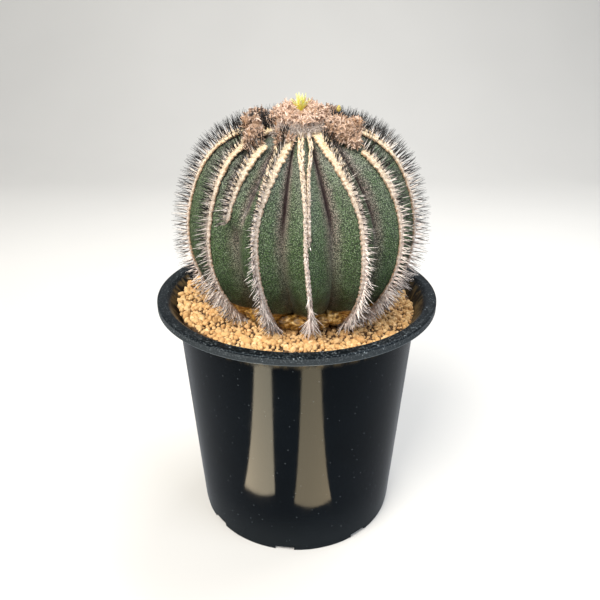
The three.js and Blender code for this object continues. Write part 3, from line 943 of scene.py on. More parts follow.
def new_tree(name, inputs):
    """A geometry tree with named inputs, and the values that they give."""
    tree = bpy.data.node_groups.new(name, "GeometryNodeTree")
    tree.interface.new_socket("Geometry", in_out="INPUT", socket_type="NodeSocketGeometry")
    for label, kind, default in inputs:
        made = tree.interface.new_socket(label, in_out="INPUT", socket_type="NodeSocket" + kind)
        if default is not None:
            made.default_value = default
    tree.interface.new_socket("Geometry", in_out="OUTPUT", socket_type="NodeSocketGeometry")
    given = tree.nodes.new("NodeGroupInput")
    return tree, {s.name: Value(tree, s) for s in given.outputs}


def close_tree(tree, geometry, material):
    """Ends a tree in Realize Instances and Set Material."""
    real = node(tree, "GeometryNodeRealizeInstances", {"Geometry": geometry})
    soft = node(tree, "GeometryNodeSetShadeSmooth", {"Geometry": real})
    done = node(tree, "GeometryNodeSetMaterial", {"Geometry": soft, "Material": material})
    node(tree, "NodeGroupOutput", {"Geometry": done})


def join(tree, parts):
    """Several geometries as one."""
    joined = node(tree, "GeometryNodeJoinGeometry")
    for part in parts:
        tree.links.new(output(part), joined.inputs[0])
    return joined


def named(tree, name, kind="FLOAT"):
    """A named attribute of the geometry."""
    made = node(tree, "GeometryNodeInputNamedAttribute", {"Name": name}, data_type=kind)
    return Value(tree, live(made.outputs, "Attribute"))


def store(tree, geometry, name, value):
    """Stores a float on each point."""
    return node(
        tree, "GeometryNodeStoreNamedAttribute", {"Geometry": geometry, "Name": name, "Value": value},
        data_type="FLOAT", domain="POINT",
    )


def random_value(tree, low, high, seed, shift):
    """A random float for each element."""
    mixed = node(tree, "FunctionNodeIntegerMath", {0: seed, 1: shift}, operation="ADD")
    limits = {"Min": low, "Max": high, "Seed": mixed}
    made = node(tree, "FunctionNodeRandomValue", limits, data_type="FLOAT")
    return Value(tree, live(made.outputs, "Value"))


def random_pick(tree, kind, low, high, seed):
    """A random vector or whole number for each element."""
    made = node(tree, "FunctionNodeRandomValue", {"Min": low, "Max": high, "Seed": seed}, data_type=kind)
    return Value(tree, live(made.outputs, "Value"))


def vector(tree, x=0.0, y=0.0, z=0.0):
    """A vector from its parts."""
    return node(tree, "ShaderNodeCombineXYZ", {"X": x, "Y": y, "Z": z})


def stepped(tree, start, *steps):
    """A vector moved by steps, each a direction and how far to go along it."""
    for direction, distance in steps:
        step = vector_maths(tree, "SCALE", direction, scale=distance)
        start = vector_maths(tree, "ADD", start, step)
    return start


def planted(tree, spots, shape, aim, spin, size):
    """A shape on every spot, spun about itself and then pointed along aim."""
    turn = vector(tree, z=spin)
    aligned = node(tree, "FunctionNodeAlignRotationToVector", {"Rotation": turn, "Vector": aim}, axis="Z")
    return node(
        tree, "GeometryNodeInstanceOnPoints",
        {"Points": spots, "Instance": shape, "Rotation": aligned, "Scale": size},
    )


def bristle_tree():
    """Bristles that fan out of each point, along its outward direction."""
    tree, given = new_tree("bristles", [
        ("Count", "Int", 4), ("Length", "Float", 0.007), ("Shortest", "Float", 0.7),
        ("Radius", "Float", 0.0002), ("Bend", "Float", 0.0006), ("Sides", "Int", 5),
        ("Fan", "Float", 0.3), ("Scatter", "Float", 0.0004), ("Seed", "Int", 1),
        ("Material", "Material", None),
    ])
    seed = given["Seed"]
    many = node(
        tree, "GeometryNodeDuplicateElements", {"Geometry": given["Geometry"], "Amount": given["Count"]},
        domain="POINT",
    ).outputs["Geometry"]
    outward = named(tree, "outward", "FLOAT_VECTOR")
    across = named(tree, "across", "FLOAT_VECTOR")
    along = vector_maths(tree, "CROSS_PRODUCT", outward, across)
    sideways = random_value(tree, -1.0, 1.0, seed, 1) * named(tree, "spread")
    fan = random_value(tree, -1.0, 1.0, seed, 2) * given["Fan"]
    aim = stepped(tree, outward, (across, sideways), (along, fan))
    drift = random_value(tree, -1.0, 1.0, seed, 3) * given["Scatter"]
    slip = random_value(tree, -1.0, 1.0, seed, 4) * given["Scatter"]
    offset = stepped(tree, vector_maths(tree, "SCALE", across, scale=drift), (along, slip))
    spots = node(tree, "GeometryNodeSetPosition", {"Geometry": many, "Offset": offset})
    spots = store(tree, spots, "tone", random_value(tree, 0.0, 1.0, seed, 5))
    taper = {"Radius Top": 0.16, "Radius Bottom": 1.0, "Depth": 1.0}
    cone = node(
        tree, "GeometryNodeMeshCone", {"Vertices": given["Sides"], "Side Segments": 4, **taper},
        fill_type="TRIANGLE_FAN",
    ).outputs["Mesh"]
    place = node(tree, "GeometryNodeInputPosition")
    rise = Value(tree, node(tree, "ShaderNodeSeparateXYZ", {0: place}).outputs["Z"])
    marked = store(tree, cone, "along", rise)
    slim = vector(tree, given["Radius"], given["Radius"], 1.0)
    thin = vector_maths(tree, "MULTIPLY", place, slim)
    bent = vector_maths(tree, "ADD", thin, vector(tree, x=rise ** 2.0 * given["Bend"]))
    bristle = node(tree, "GeometryNodeSetPosition", {"Geometry": marked, "Position": bent})
    spin = random_value(tree, 0.0, 6.283, seed, 6)
    reach = given["Length"] * named(tree, "reach") * random_value(tree, given["Shortest"], 1.15, seed, 7)
    grown = planted(tree, spots, bristle, aim, spin, vector(tree, 1.0, 1.0, reach))
    close_tree(tree, grown, given["Material"])
    return tree


def granule_tree():
    """Rough granules scattered over a surface."""
    tree, given = new_tree("granules", [
        ("Spacing", "Float", 0.002), ("Smallest", "Float", 0.0009), ("Largest", "Float", 0.0019),
        ("Rise", "Float", 0.0004), ("Seed", "Int", 1), ("Material", "Material", None),
    ])
    seed = given["Seed"]
    scattered = node(
        tree, "GeometryNodeDistributePointsOnFaces",
        {"Mesh": given["Geometry"], "Distance Min": given["Spacing"], "Density Max": 900000.0, "Seed": seed},
        distribute_method="POISSON",
    ).outputs["Points"]
    lift = vector(tree, z=random_value(tree, -0.7, 1.0, seed, 1) * given["Rise"])
    spots = node(tree, "GeometryNodeSetPosition", {"Geometry": scattered, "Offset": lift})
    spots = store(tree, spots, "tone", random_value(tree, 0.0, 1.0, seed, 2))
    stones = join(tree, [lumpy_stone(tree, i) for i in range(5)])
    bias = random_value(tree, 0.0, 1.0, seed, 3) ** 2.2
    radius = given["Smallest"] + bias * (given["Largest"] - given["Smallest"])
    shape = random_pick(tree, "FLOAT_VECTOR", (0.85, 0.85, 0.7), (1.2, 1.2, 1.05), seed)
    strewn = node(tree, "GeometryNodeInstanceOnPoints", {
        "Points": spots, "Instance": stones, "Pick Instance": True,
        "Instance Index": random_pick(tree, "INT", 0, 4, seed),
        "Rotation": random_pick(tree, "FLOAT_VECTOR", (0, 0, 0), (6.28, 6.28, 6.28), seed),
        "Scale": vector_maths(tree, "SCALE", shape, scale=radius),
    })
    close_tree(tree, strewn, given["Material"])
    return tree


def lumpy_stone(tree, i):
    """One of the granules' shapes: a ball of radius 1 swollen by noise."""
    place = node(tree, "GeometryNodeInputPosition")
    ball = node(tree, "GeometryNodeMeshIcoSphere", {"Radius": 1.0, "Subdivisions": 2}).outputs["Mesh"]
    shifted = vector_maths(tree, "ADD", place, (3.1 * i, 1.7 * i, 0.9 * i))
    lumps = node(tree, "ShaderNodeTexNoise", {"Vector": shifted, "Scale": 1.1, "Detail": 2.0})
    swell = Value(tree, live(lumps.outputs, "Fac")).remap(0.25, 0.75, 0.62, 1.28, kind="LINEAR")
    swollen = vector_maths(tree, "SCALE", place, scale=swell)
    stone = node(tree, "GeometryNodeSetPosition", {"Geometry": ball, "Position": swollen})
    return node(tree, "GeometryNodeGeometryToInstance", {"Geometry": stone})


def flake_tree():
    """Curled dried petals that stand off a mound at all angles, on top of the mound itself."""
    tree, given = new_tree("dried_petals", [
        ("Density", "Float", 400000.0), ("Length", "Float", 0.003), ("Width", "Float", 0.001),
        ("Thickness", "Float", 0.00012), ("Curl", "Float", 0.0011), ("Tilt", "Float", 0.9),
        ("Clear Centre", "Vector", (0.0, 0.0, 0.0)), ("Clear Radius", "Float", 0.0),
        ("Darkest", "Float", 0.0), ("Palest", "Float", 1.0),
        ("Seed", "Int", 1), ("Material", "Material", None),
    ])
    seed = given["Seed"]
    scatter = node(
        tree, "GeometryNodeDistributePointsOnFaces",
        {"Mesh": given["Geometry"], "Density": given["Density"], "Seed": seed}, distribute_method="RANDOM",
    )
    place = node(tree, "GeometryNodeInputPosition")
    away = vector_maths(tree, "SUBTRACT", place, given["Clear Centre"])
    level = vector_maths(tree, "MULTIPLY", away, (1.0, 1.0, 0.0))
    reach = vector_maths(tree, "LENGTH", level).outputs["Value"]
    near = node(
        tree, "FunctionNodeCompare", {"A": reach, "B": given["Clear Radius"]},
        data_type="FLOAT", operation="LESS_THAN",
    )
    kept = node(
        tree, "GeometryNodeDeleteGeometry", {"Geometry": scatter.outputs["Points"], "Selection": near},
        domain="POINT",
    )
    spots = store(tree, kept, "tone", random_value(tree, given["Darkest"], given["Palest"], seed, 1))
    slab = node(
        tree, "GeometryNodeMeshCube",
        {"Size": (1, 1, 1), "Vertices X": 3, "Vertices Y": 2, "Vertices Z": 5},
    ).outputs["Mesh"]
    x, y, z = (Value(tree, s) for s in node(tree, "ShaderNodeSeparateXYZ", {0: place}).outputs)
    rise = z + 0.5
    side = x * rise.remap(0.35, 1.0, 1.0, 0.25) * given["Width"]
    cup = x ** 2.0 * given["Width"]
    curl = rise ** 2.0 * given["Curl"]
    shaped = vector(tree, side, y * given["Thickness"] + (curl + cup), rise * given["Length"])
    petal = node(tree, "GeometryNodeSetPosition", {"Geometry": slab, "Position": shaped})
    stray = random_pick(tree, "FLOAT_VECTOR", (-1, -1, -1), (1, 1, 1), seed)
    aim = stepped(tree, scatter.outputs["Normal"], (stray, given["Tilt"]))
    spin = random_value(tree, 0.0, 6.283, seed, 3)
    petals = planted(tree, spots, petal, aim, spin, random_value(tree, 0.5, 1.25, seed, 4))
    close_tree(tree, join(tree, [given["Geometry"], petals]), given["Material"])
    return tree


def shared_tree(name, build):
    """The tree of that name, built the first time it is needed."""
    return bpy.data.node_groups.get(name) or build()


def grow(obj, tree, values):
    """Runs a tree on obj and keeps the result as its plain mesh."""
    modifier = obj.modifiers.new("growth", "NODES")
    modifier.node_group = tree
    sockets = {
        item.name: item.identifier for item in tree.interface.items_tree
        if item.item_type == "SOCKET" and item.in_out == "INPUT"
    }
    for name, value in values.items():
        modifier[sockets[name]] = value
    keep_evaluated(obj)
    if not obj.data.polygons:
        raise RuntimeError(f"{tree.name} grew nothing on {obj.name}")


# ---- pieces -------------------------------------------------------------------------------------


def pot_outline(rounding):
    """Closed section of the pot, from the underside of its floor to the floor's top."""
    top = POT_TOP
    rim = POT_RIM
    outline = [
        (0, FOOT[1]), (49.2, FOOT[1]), (49.8, 0), (FOOT_RING, 0), (FOOT_RING, 2.7), FOOT, SHOULDER,
        (59.3, 114), (61, 116.6), (63.2, 119.2), (rim - 1.5, 119.4), (rim - 1.5, 117.1), (rim, 117.1),
        (rim, top), (62.9, top), (61.4, top - 1.5), (59.4, 116.8), (57.8, 114.2), (56.8, 111.5),
        (wall_radius(6) - POT_WALL, 6), (wall_radius(5) - POT_WALL - 1, POT_FLOOR), (0, POT_FLOOR),
    ]
    corners = {2: 0.3, 3: 0.4, 10: 0.4, 11: 0.3, 12: 0.35, 13: rounding, 14: 0.5, 15: 0.6, 19: 0.8}
    return rounded(outline, corners)


def make_pot(s):
    """The nursery pot: a thin turned wall, a rolled rim with a skirt, foot notches and drain holes."""
    pot = lathe("pot_body", pot_outline(1000 * s.rim_rounding), s.steps)
    cutters = bmesh.new()
    block = Matrix.Diagonal((NOTCHES["width"] * MM, NOTCHES["depth"] * MM, NOTCHES["height"] * MM, 1))
    for i in range(NOTCHES["count"]):
        turn = Matrix.Rotation(math.radians(360 / NOTCHES["count"] * i + NOTCHES["turn"]), 4, "Z")
        place = Matrix.Translation((0, -FOOT_RING * MM, 0))
        bmesh.ops.create_cube(cutters, size=1, matrix=turn @ place @ block)
    holes = [(0, 0, DRAIN_HOLES["middle_radius"])]
    for i in range(DRAIN_HOLES["count"]):
        turn = 2 * math.pi * i / DRAIN_HOLES["count"]
        x = DRAIN_HOLES["circle"] * math.cos(turn)
        holes.append((x, DRAIN_HOLES["circle"] * math.sin(turn), DRAIN_HOLES["radius"]))
    through = 6 * MM
    floor_middle = (FOOT[1] + POT_FLOOR) / 2
    for x, y, radius in holes:
        bmesh.ops.create_cone(
            cutters, cap_ends=True, segments=40, radius1=radius * MM, radius2=radius * MM, depth=through,
            matrix=Matrix.Translation(Vector((x, y, floor_middle)) * MM),
        )
    mesh = bpy.data.meshes.new("pot_cutters")
    cutters.to_mesh(mesh)
    cutters.free()
    tool = bpy.data.objects.new("pot_cutters", mesh)
    bpy.context.scene.collection.objects.link(tool)
    carve(pot, tool)
    smooth(pot, 32)
    finish_piece(pot, plastic_finish(s), "pot_plastic", "pot")


def soil_ring(name, inner, outer, bottom=None):
    """The gravel's surface as a ring, or a closed ring down to a bottom height."""
    azimuths = np.linspace(0, 360, 180, endpoint=False)
    turns = np.radians(azimuths)
    rows = []
    for across in np.linspace(0, 1, 24):
        radius = inner + (outer - inner) * across
        x = (1 - across) * PLANT_X + radius * np.sin(turns)
        rows.append(np.stack([x, -radius * np.cos(turns), soil_height(radius, azimuths)], axis=1))
    if bottom is not None:
        narrower = 0.975
        outer_foot = rows[-1] * [narrower, narrower, 0] + [0, 0, bottom]
        inner_foot = rows[0] * [1, 1, 0] + [0, 0, bottom]
        rows += [outer_foot, inner_foot, rows[0]]
    points = np.concatenate(rows)
    if bottom is not None:
        points[:, 2] += 0.5 * rumple(points, 4.0, 3) * (points[:, 2] > bottom + 1)
    obj = mesh_object(name, points, grid_faces(len(rows), len(turns)))
    face_outwards(obj)
    return obj


def make_gravel(s):
    """The top layer: a bed of fines with a scatter of granules on it."""
    bed = soil_ring("gravel_bed", 28.6, 57.4, bottom=106.3)
    smooth(bed)
    finish_piece(bed, bed_finish(s), "akadama", "akadama_top_layer")
    material = gravel_finish(s)
    granules = soil_ring("gravel_granules", 27.6, 57.0)
    face_up(granules)
    grow(granules, shared_tree("granules", granule_tree), {
        "Spacing": s.spacing, "Smallest": s.smallest, "Largest": s.largest, "Rise": 0.0009, "Seed": 4,
        "Material": material,
    })
    finish_piece(granules, material, "akadama", "akadama_top_layer")


def stem_row(place, s):
    """One ring of points round the skin, with the marks that its colours follow."""
    crests = [float(rib_azimuth(RIBS[name], place)) for name in FULL_RIBS]
    valleys = zip(crests, crests[1:] + [crests[0] + 360])
    azimuth = np.concatenate([np.linspace(a, b, VALLEY_STEPS, endpoint=False) for a, b in valleys])
    stand, flank = stand_at(azimuth, place)
    at = spline(VALLEY, place) + (spline(CREST, place) - spline(VALLEY, place)) * stand[:, None]
    skin = placed(at[:, 0], azimuth, at[:, 1])
    fold = 1 - smoothstep(flank, *FOLD_REACH)
    deep = smoothstep(place, *FOLD_DEEPENS) * (1 - 0.8 * smoothstep(place, *FOLD_EASES))
    crease = 1000 * s.crease * fold * float(deep)
    line = CORK_LINE + CORK_SAG * (1 - flank) + CORK_WANDER * rumple(skin, 5, 8)
    cork = smoothstep(place, line, line + CORK_BLEND)
    off_crest = 1 - smoothstep(flank, 0.72, 0.94)
    above_root = float(1 - smoothstep(place, 0.76, 0.82))
    wrinkle = rumple(skin * [1, 1, 2.4], 3.4, 5) + 0.5 * rumple(skin * [1, 1, 2], 1.5, 6)
    recess = 1000 * s.cork_recess * cork * off_crest * above_root * (1 - 0.5 * wrinkle)
    lip = LIP_DEPTH * hump(azimuth, *LIP_AZIMUTHS) * float(hump(place, *LIP_PLACES))
    uneven = 0.12 * rumple(skin, 6, 2)
    points = placed(at[:, 0] - crease - recess + uneven + lip, azimuth, at[:, 1] - 0.3 * recess)
    return points, {"place": np.full(len(azimuth), place), "flank": flank, "fold": fold, "cork": cork}


def make_stem(s):
    """The stem: ribs, sharp folds between them and a corky base, down to the root's tip."""
    above_cork = np.linspace(0.006, 0.6, 175)
    places = np.concatenate([above_cork, np.linspace(0.604, 0.77, 60), np.linspace(0.79, 1, 12)])
    rows, marks = zip(*[stem_row(place, s) for place in places])
    ends = [placed(np.zeros(1), np.zeros(1), height) for height in (STEM_TOP, STEM_TIP)]
    points = np.concatenate([*rows, *ends])
    hub = len(points) - len(ends)
    faces = capped_faces(len(rows), len(rows[0]), hub, hub + 1)
    values = {name: np.concatenate([*[row[name] for row in marks], [0, 0]]) for name in marks[0]}
    stem = closed_object("stem_skin", points, faces, values)
    finish_piece(stem, skin_finish(s), "stem_skin", "cactus_stem")


def cork_fold(azimuth, radius, height, wide, seed):
    """One wrinkled lump of old skin that lies across the foot of a valley."""
    turn = math.radians(azimuth)
    out = np.array([math.sin(turn), -math.cos(turn), 0])
    side = np.array([math.cos(turn), math.sin(turn), 0])
    centre = np.array([PLANT_X, 0, height]) + radius * out
    turns = np.linspace(0, 2 * np.pi, 26, endpoint=False)
    rings = []
    for tilt in np.linspace(-1.35, 1.35, 14):
        ring = np.outer(np.cos(turns), CORK_FOLDS["thick"] * out)
        ring += np.outer(np.sin(turns), (0, 0, CORK_FOLDS["tall"]))
        ring = centre + math.cos(tilt) * ring + math.sin(tilt) * wide * side
        ring += (ring - centre) * (0.34 * rumple(ring * [1, 1, 1.8], 2.6, 20 + seed))[:, None]
        ring += (ring - centre) * (0.16 * rumple(ring * [1, 1, 2.2], 0.9, 50 + seed))[:, None]
        rings.append(ring)
    return closed_tube(rings)


def make_cork(s):
    """Corky folds of old skin, two in each valley, that bulge out between the feet of the ribs."""
    feet = [float(rib_azimuth(RIBS[name], 0.68)) for name in FULL_RIBS]
    folds = []
    for i, (left, right) in enumerate(zip(feet, feet[1:] + [feet[0] + 360])):
        for j in range(2):
            azimuth = left + (right - left) * (0.33 + 0.36 * j + 0.05 * math.sin(3.7 * i))
            radius = CORK_FOLDS["radius"] + 0.7 * math.sin(2.1 * i + j)
            height = CORK_FOLDS["height"] + 0.8 * math.sin(1.7 * i + 2 * j)
            wide = CORK_FOLDS["wide"] + 0.7 * math.sin(2.9 * i + j)
            folds.append(cork_fold(azimuth, radius, height, wide, i))
    cork = closed_object("cork_folds", *merged(folds))
    finish_piece(cork, cork_finish(s), "stem_skin", "cactus_stem")


def make_wool_cord(name, rib, s):
    """The felted cord of wool along one crest, swollen at each areole."""
    start = rib.get("start", COMB_START)
    end = rib.get("end", COMB_END)
    slim = rib.get("slim", 1.0)
    pitch = 0.34
    places = even_places(rib, start, end, pitch)
    points, normal, across = crest_frames(rib, places)[:3]
    row = np.arange(len(places))
    drift = 1.1 * rumple(points, 5, 31)
    bead = np.abs(np.sin(np.pi * (row * pitch + drift) / (1000 * s.pitch))) ** 0.7
    wide = slim * np.interp(places, WOOL_PLACES, SLIM_WOOL if "slim" in rib else BROAD_WOOL)
    ends = np.clip(np.minimum(row, row[::-1]) / 5, 0.15, 1)
    half = 1000 * s.half_width * wide * (0.82 + 0.24 * bead) * ends
    tall = 1000 * s.height * (0.7 + 0.4 * bead) * ends * (0.6 + 0.4 * slim)
    angles = np.linspace(0, np.pi, 9)
    sections = []
    for i in range(len(places)):
        side = np.cos(angles) * half[i]
        lift = np.sin(angles) ** 0.8 * tall[i] - 0.25
        arch = points[i] + np.outer(side, across[i]) + np.outer(lift, normal[i])
        sections.append(np.concatenate([arch, [points[i] - 0.9 * normal[i]]]))
    shape = np.shape(sections)
    flat = np.reshape(sections, (-1, 3))
    ruffle = 0.32 * rumple(flat, 1.0, 11) + 0.2 * rumple(flat, 0.45, 12)
    flat = flat + np.repeat(normal, shape[1], axis=0) * ruffle[:, None]
    on_crown = np.repeat(1 - smoothstep(places, 0.2, 0.42), shape[1])
    ragged = slim * (0.5 * rumple(flat, 0.9, 13) + 0.9 * rumple(flat, 2.2, 14) * on_crown)
    flat = flat + np.repeat(across, shape[1], axis=0) * ragged[:, None]
    edge = np.tile(np.append(np.abs(np.cos(angles)), 1.0), len(places))
    values = {
        "place": np.append(np.repeat(places, shape[1]), [start, end]), "edge": np.append(edge, [0.5, 0.5]),
    }
    return closed_object(name, *closed_tube(flat.reshape(shape)), values)


def bristle_roots(name, points, outward, across, values):
    """Loose points for bristles to grow from, with their directions and measures."""
    obj = mesh_object(name, points, [], values)
    outward = outward / np.linalg.norm(outward, axis=1)[:, None]
    for label, vectors in (("outward", outward), ("across", across)):
        made = obj.data.attributes.new(label, "FLOAT_VECTOR", "POINT")
        made.data.foreach_set("vector", vectors.astype(np.float32).ravel())
    return obj


def areole_points(name, rib, pitch, lift, start=None):
    """The areoles of one rib as loose points that carry the directions of their spines."""
    start = rib.get("start", COMB_START) if start is None else start
    places = even_places(rib, start, rib.get("end", COMB_END), pitch)
    points, normal, across = crest_frames(rib, places)[:3]
    low = smoothstep(places, 0.5, 0.66)
    outward = normal.copy()
    outward[:, 2] = np.maximum(outward[:, 2], -0.25)
    outward *= (1 - 0.15 * low)[:, None]
    outward[:, 2] -= 0.42 * low
    near_soil = smoothstep(places, 0.6, 0.68) > 0
    outward[:, 2] = np.where(near_soil, np.maximum(outward[:, 2], -0.62), outward[:, 2])
    outward[:, 2] += 0.16 * (1 - smoothstep(places, 0.1, 0.35))
    slim = "slim" in rib
    short = np.interp(places, [0.1, 0.45, 0.6, 0.7], [0.35, 0.5, 0.95, 1.05]) if slim else 1.0
    values = {
        "shade": (0.5 if slim else 1.0) * np.interp(places, SHADE_PLACES, SHADES),
        "reach": short * np.interp(places, [0.08, 0.2, 0.4, 0.6, 0.7], [1.1, 1.08, 1.0, 0.94, 0.8]),
        "spread": np.interp(places, [0.08, 0.2, 0.45, 0.6, 0.7], [0.4, 0.3, 0.32, 0.5, 0.8]),
        "place": places,
        "edge": np.full(len(places), 0.2),
    }
    return bristle_roots(name, points + lift * normal, outward, across, values)


def crown_points(name, azimuth, place, rise, values):
    """Loose points on the crown whose bristles climb by rise for each step outwards."""
    at = spline(CREST, place)
    turn = np.radians(azimuth)
    outward = np.stack([np.sin(turn), -np.cos(turn), rise + 0 * turn], axis=1)
    across = np.stack([np.cos(turn), np.sin(turn), 0 * turn], axis=1)
    measures = {label: np.full(len(turn), value) for label, value in values.items()}
    return bristle_roots(name, placed(at[:, 0], azimuth, at[:, 1] + 0.2), outward, across, measures)


def make_wool(s):
    """Every rib's cord of wool with its loose hairs, and the hair on the crown."""
    material = wool_finish(s)
    for i, (name, rib) in enumerate(RIBS.items()):
        slim = rib.get("slim", 1.0)
        cord = make_wool_cord("wool_" + name, rib, s)
        finish_piece(cord, material, "wool_and_spines", "spine_comb_" + name)
        hairs = areole_points("wool_hairs_" + name, rib, 0.5, 0.35)
        spread = hairs.data.attributes["spread"].data
        spread.foreach_set("value", np.full(len(spread), 1.6 * slim, np.float32))
        grow(hairs, shared_tree("bristles", bristle_tree), {
            "Count": 4, "Length": s.hair, "Shortest": 0.4, "Radius": 0.00009, "Bend": 0.0003, "Sides": 3,
            "Fan": 1.2, "Scatter": 0.0009 * slim, "Seed": 100 + i, "Material": material,
        })
        finish_piece(hairs, material, "wool_and_spines", "spine_comb_" + name)
    make_crown_hair(s, material)


def make_crown_hair(s, material):
    """Loose grey hair that hangs out between the middle tuft and the first areoles in front."""
    rng = np.random.default_rng(11)
    azimuth = rng.uniform(-34, 36, s.hair_roots)
    place = rng.uniform(0.07, 0.122, s.hair_roots)
    values = {"shade": 0.0, "reach": 1.0, "spread": 0.9, "place": 0.5, "edge": 0.3}
    hair = crown_points("crown_hair", azimuth, place, 0.45, values)
    grow(hair, shared_tree("bristles", bristle_tree), {
        "Count": 5, "Length": 0.0052, "Shortest": 0.3, "Radius": 0.00012, "Bend": 0.0014, "Sides": 3,
        "Fan": 0.8, "Scatter": 0.0008, "Seed": 91, "Material": material,
    })
    finish_piece(hair, material, "wool_and_spines")


def make_spines(s):
    """Every rib's comb of spines, the brushes at their feet and the spines on the crown."""
    material = spine_finish(s)
    tree = shared_tree("bristles", bristle_tree)
    for i, (name, rib) in enumerate(RIBS.items()):
        comb = areole_points("spines_" + name, rib, 1.9, 0.3, start=rib.get("first_spine"))
        count = max(2, s.count - 5) if "slim" in rib else s.count
        grow(comb, tree, {
            "Count": count, "Length": s.length, "Shortest": 0.7, "Radius": s.radius, "Bend": 0.0005,
            "Sides": 4, "Fan": 0.24, "Scatter": 0.00035, "Seed": 40 + i, "Material": material,
        })
        finish_piece(comb, material, "wool_and_spines", "spine_comb_" + name)
        if "end" in rib:
            continue
        brush = areole_points("foot_spines_" + name, rib, 2.1, 0.3, start=0.57)
        splay = brush.data.attributes["spread"].data
        splay.foreach_set("value", np.interp(np.linspace(0, 1, len(splay)), [0, 0.5, 1], [0.8, 1.3, 1.9]))
        grow(brush, tree, {
            "Count": 6, "Length": 1.2 * s.length, "Shortest": 0.75, "Radius": s.radius, "Bend": 0.0006,
            "Sides": 4, "Fan": 0.4, "Scatter": 0.0007, "Seed": 60 + i, "Material": material,
        })
        finish_piece(brush, material, "wool_and_spines", "spine_comb_" + name)
    make_crown_spines(s, material)


def make_crown_spines(s, material):
    """The young black spines that stand between the tufts on the crown, except in front."""
    rng = np.random.default_rng(7)
    azimuth = rng.uniform(0, 360, s.crown_roots)
    place = rng.uniform(0.05, 0.155, s.crown_roots)
    kept = np.abs((azimuth + 180) % 360 - 180) > 40
    values = {"shade": 0.9, "reach": 1.0, "spread": 0.35}
    crown = crown_points("crown_spines", azimuth[kept], place[kept], 1.15, values)
    grow(crown, shared_tree("bristles", bristle_tree), {
        "Count": 2, "Length": 1.05 * s.length, "Shortest": 0.6, "Radius": s.radius, "Bend": 0.0008,
        "Sides": 5, "Fan": 0.35, "Scatter": 0.0006, "Seed": 90, "Material": material,
    })
    finish_piece(crown, material, "wool_and_spines")


def heap(name, across, along, height, seed, put):
    """A closed, lumpy mound; put moves points from the mound's own directions into place."""
    turns = np.linspace(0, 2 * np.pi, 44, endpoint=False)
    levels = np.linspace(0, len(HEAP_RISES) - 1, 30)
    sections = []
    for level in levels:
        spread = np.interp(level, range(len(HEAP_SPREADS)), HEAP_SPREADS)
        rise = np.interp(level, range(len(HEAP_RISES)), HEAP_RISES)
        ring = circle(spread, height * rise, turns) * [across, along, 1]
        lump = 1 + 0.34 * rumple(ring, 0.5 * across, seed) + 0.16 * rumple(ring, 1.6, seed + 1)
        crinkle = np.abs(rumple(ring, 1.1, seed + 4)) / across
        ring[:, :2] *= (0.97 * lump - 1.3 * crinkle)[:, None]
        ring[:, 2] *= 1 - 0.3 * np.abs(rumple(ring, 3.2, seed + 2)) * (rise > 0)
        sections.append(ring)
    sections = put(np.concatenate(sections)).reshape(len(levels), -1, 3)
    points, faces = closed_tube(sections)
    obj = mesh_object(name, points, faces, {"tone": 0.25 + 0.4 * rumple(points, 1.6, seed + 3)})
    face_outwards(obj)
    return obj


def tuft_placer(azimuth, place, lean):
    """A function that puts points onto a crest, with their own z axis leaning towards upright."""
    frames = crest_frames({"azimuths": (azimuth,) * 3}, np.array([place]))
    point, normal, across, along = (v[0] for v in frames)
    axis = (1 - lean) * normal + lean * np.array([0, 0, 1.0])
    return lambda p: point + p[:, :1] * across + p[:, 1:2] * along + p[:, 2:] * axis


def part_lobes(points):
    """Puts points at the middle of the crown, with the notch that parts its lobes."""
    aside = ((points[:, 0] - 0.5) / NOTCH["width"]) ** 2
    onward = ((points[:, 1] - NOTCH["shift"]) / NOTCH["length"]) ** 2
    moved = points + [CENTRE_TUFT["x"], CENTRE_TUFT["y"], CENTRE_TUFT["base"]]
    moved[:, 2] -= NOTCH["depth"] * np.exp(-aside - onward) * smoothstep(points[:, 2], 2, 7)
    return moved


def make_tufts(s):
    """The tufts of dried flowers: heaps covered in curled petals."""
    material = tuft_finish(s)
    heaps = []
    for i, (name, azimuth, place, across, along, height, lean) in enumerate(TUFTS):
        seed = 5 * (i + 1)
        put = tuft_placer(azimuth, place, lean)
        made = heap(f"dried_{name}_{seed}", across, along, height - FLAKE_RISE, seed, put)
        heaps.append((name, made, 0.0, 0.68))
    c = CENTRE_TUFT
    middle = heap("dried_crown_tuft_centre", c["across"], c["along"], c["height"] - 1.4, 70, part_lobes)
    heaps.append(("crown_tuft_centre", middle, 0.3, 1.0))
    for i, (name, made, darkest, palest) in enumerate(heaps):
        grow(made, shared_tree("dried_petals", flake_tree), {
            "Density": 1100000.0, "Length": s.flake_length, "Width": s.flake_width, "Thickness": 0.00014,
            "Curl": 0.0009, "Tilt": 1.7, "Clear Centre": (FLOWER.x * MM, (FLOWER.y - 1) * MM, 0.0),
            "Clear Radius": 0.0034, "Darkest": darkest, "Palest": palest, "Seed": 10 + i,
            "Material": material,
        })
        smooth(made, 50)
        finish_piece(made, material, "dried_flowers", name)


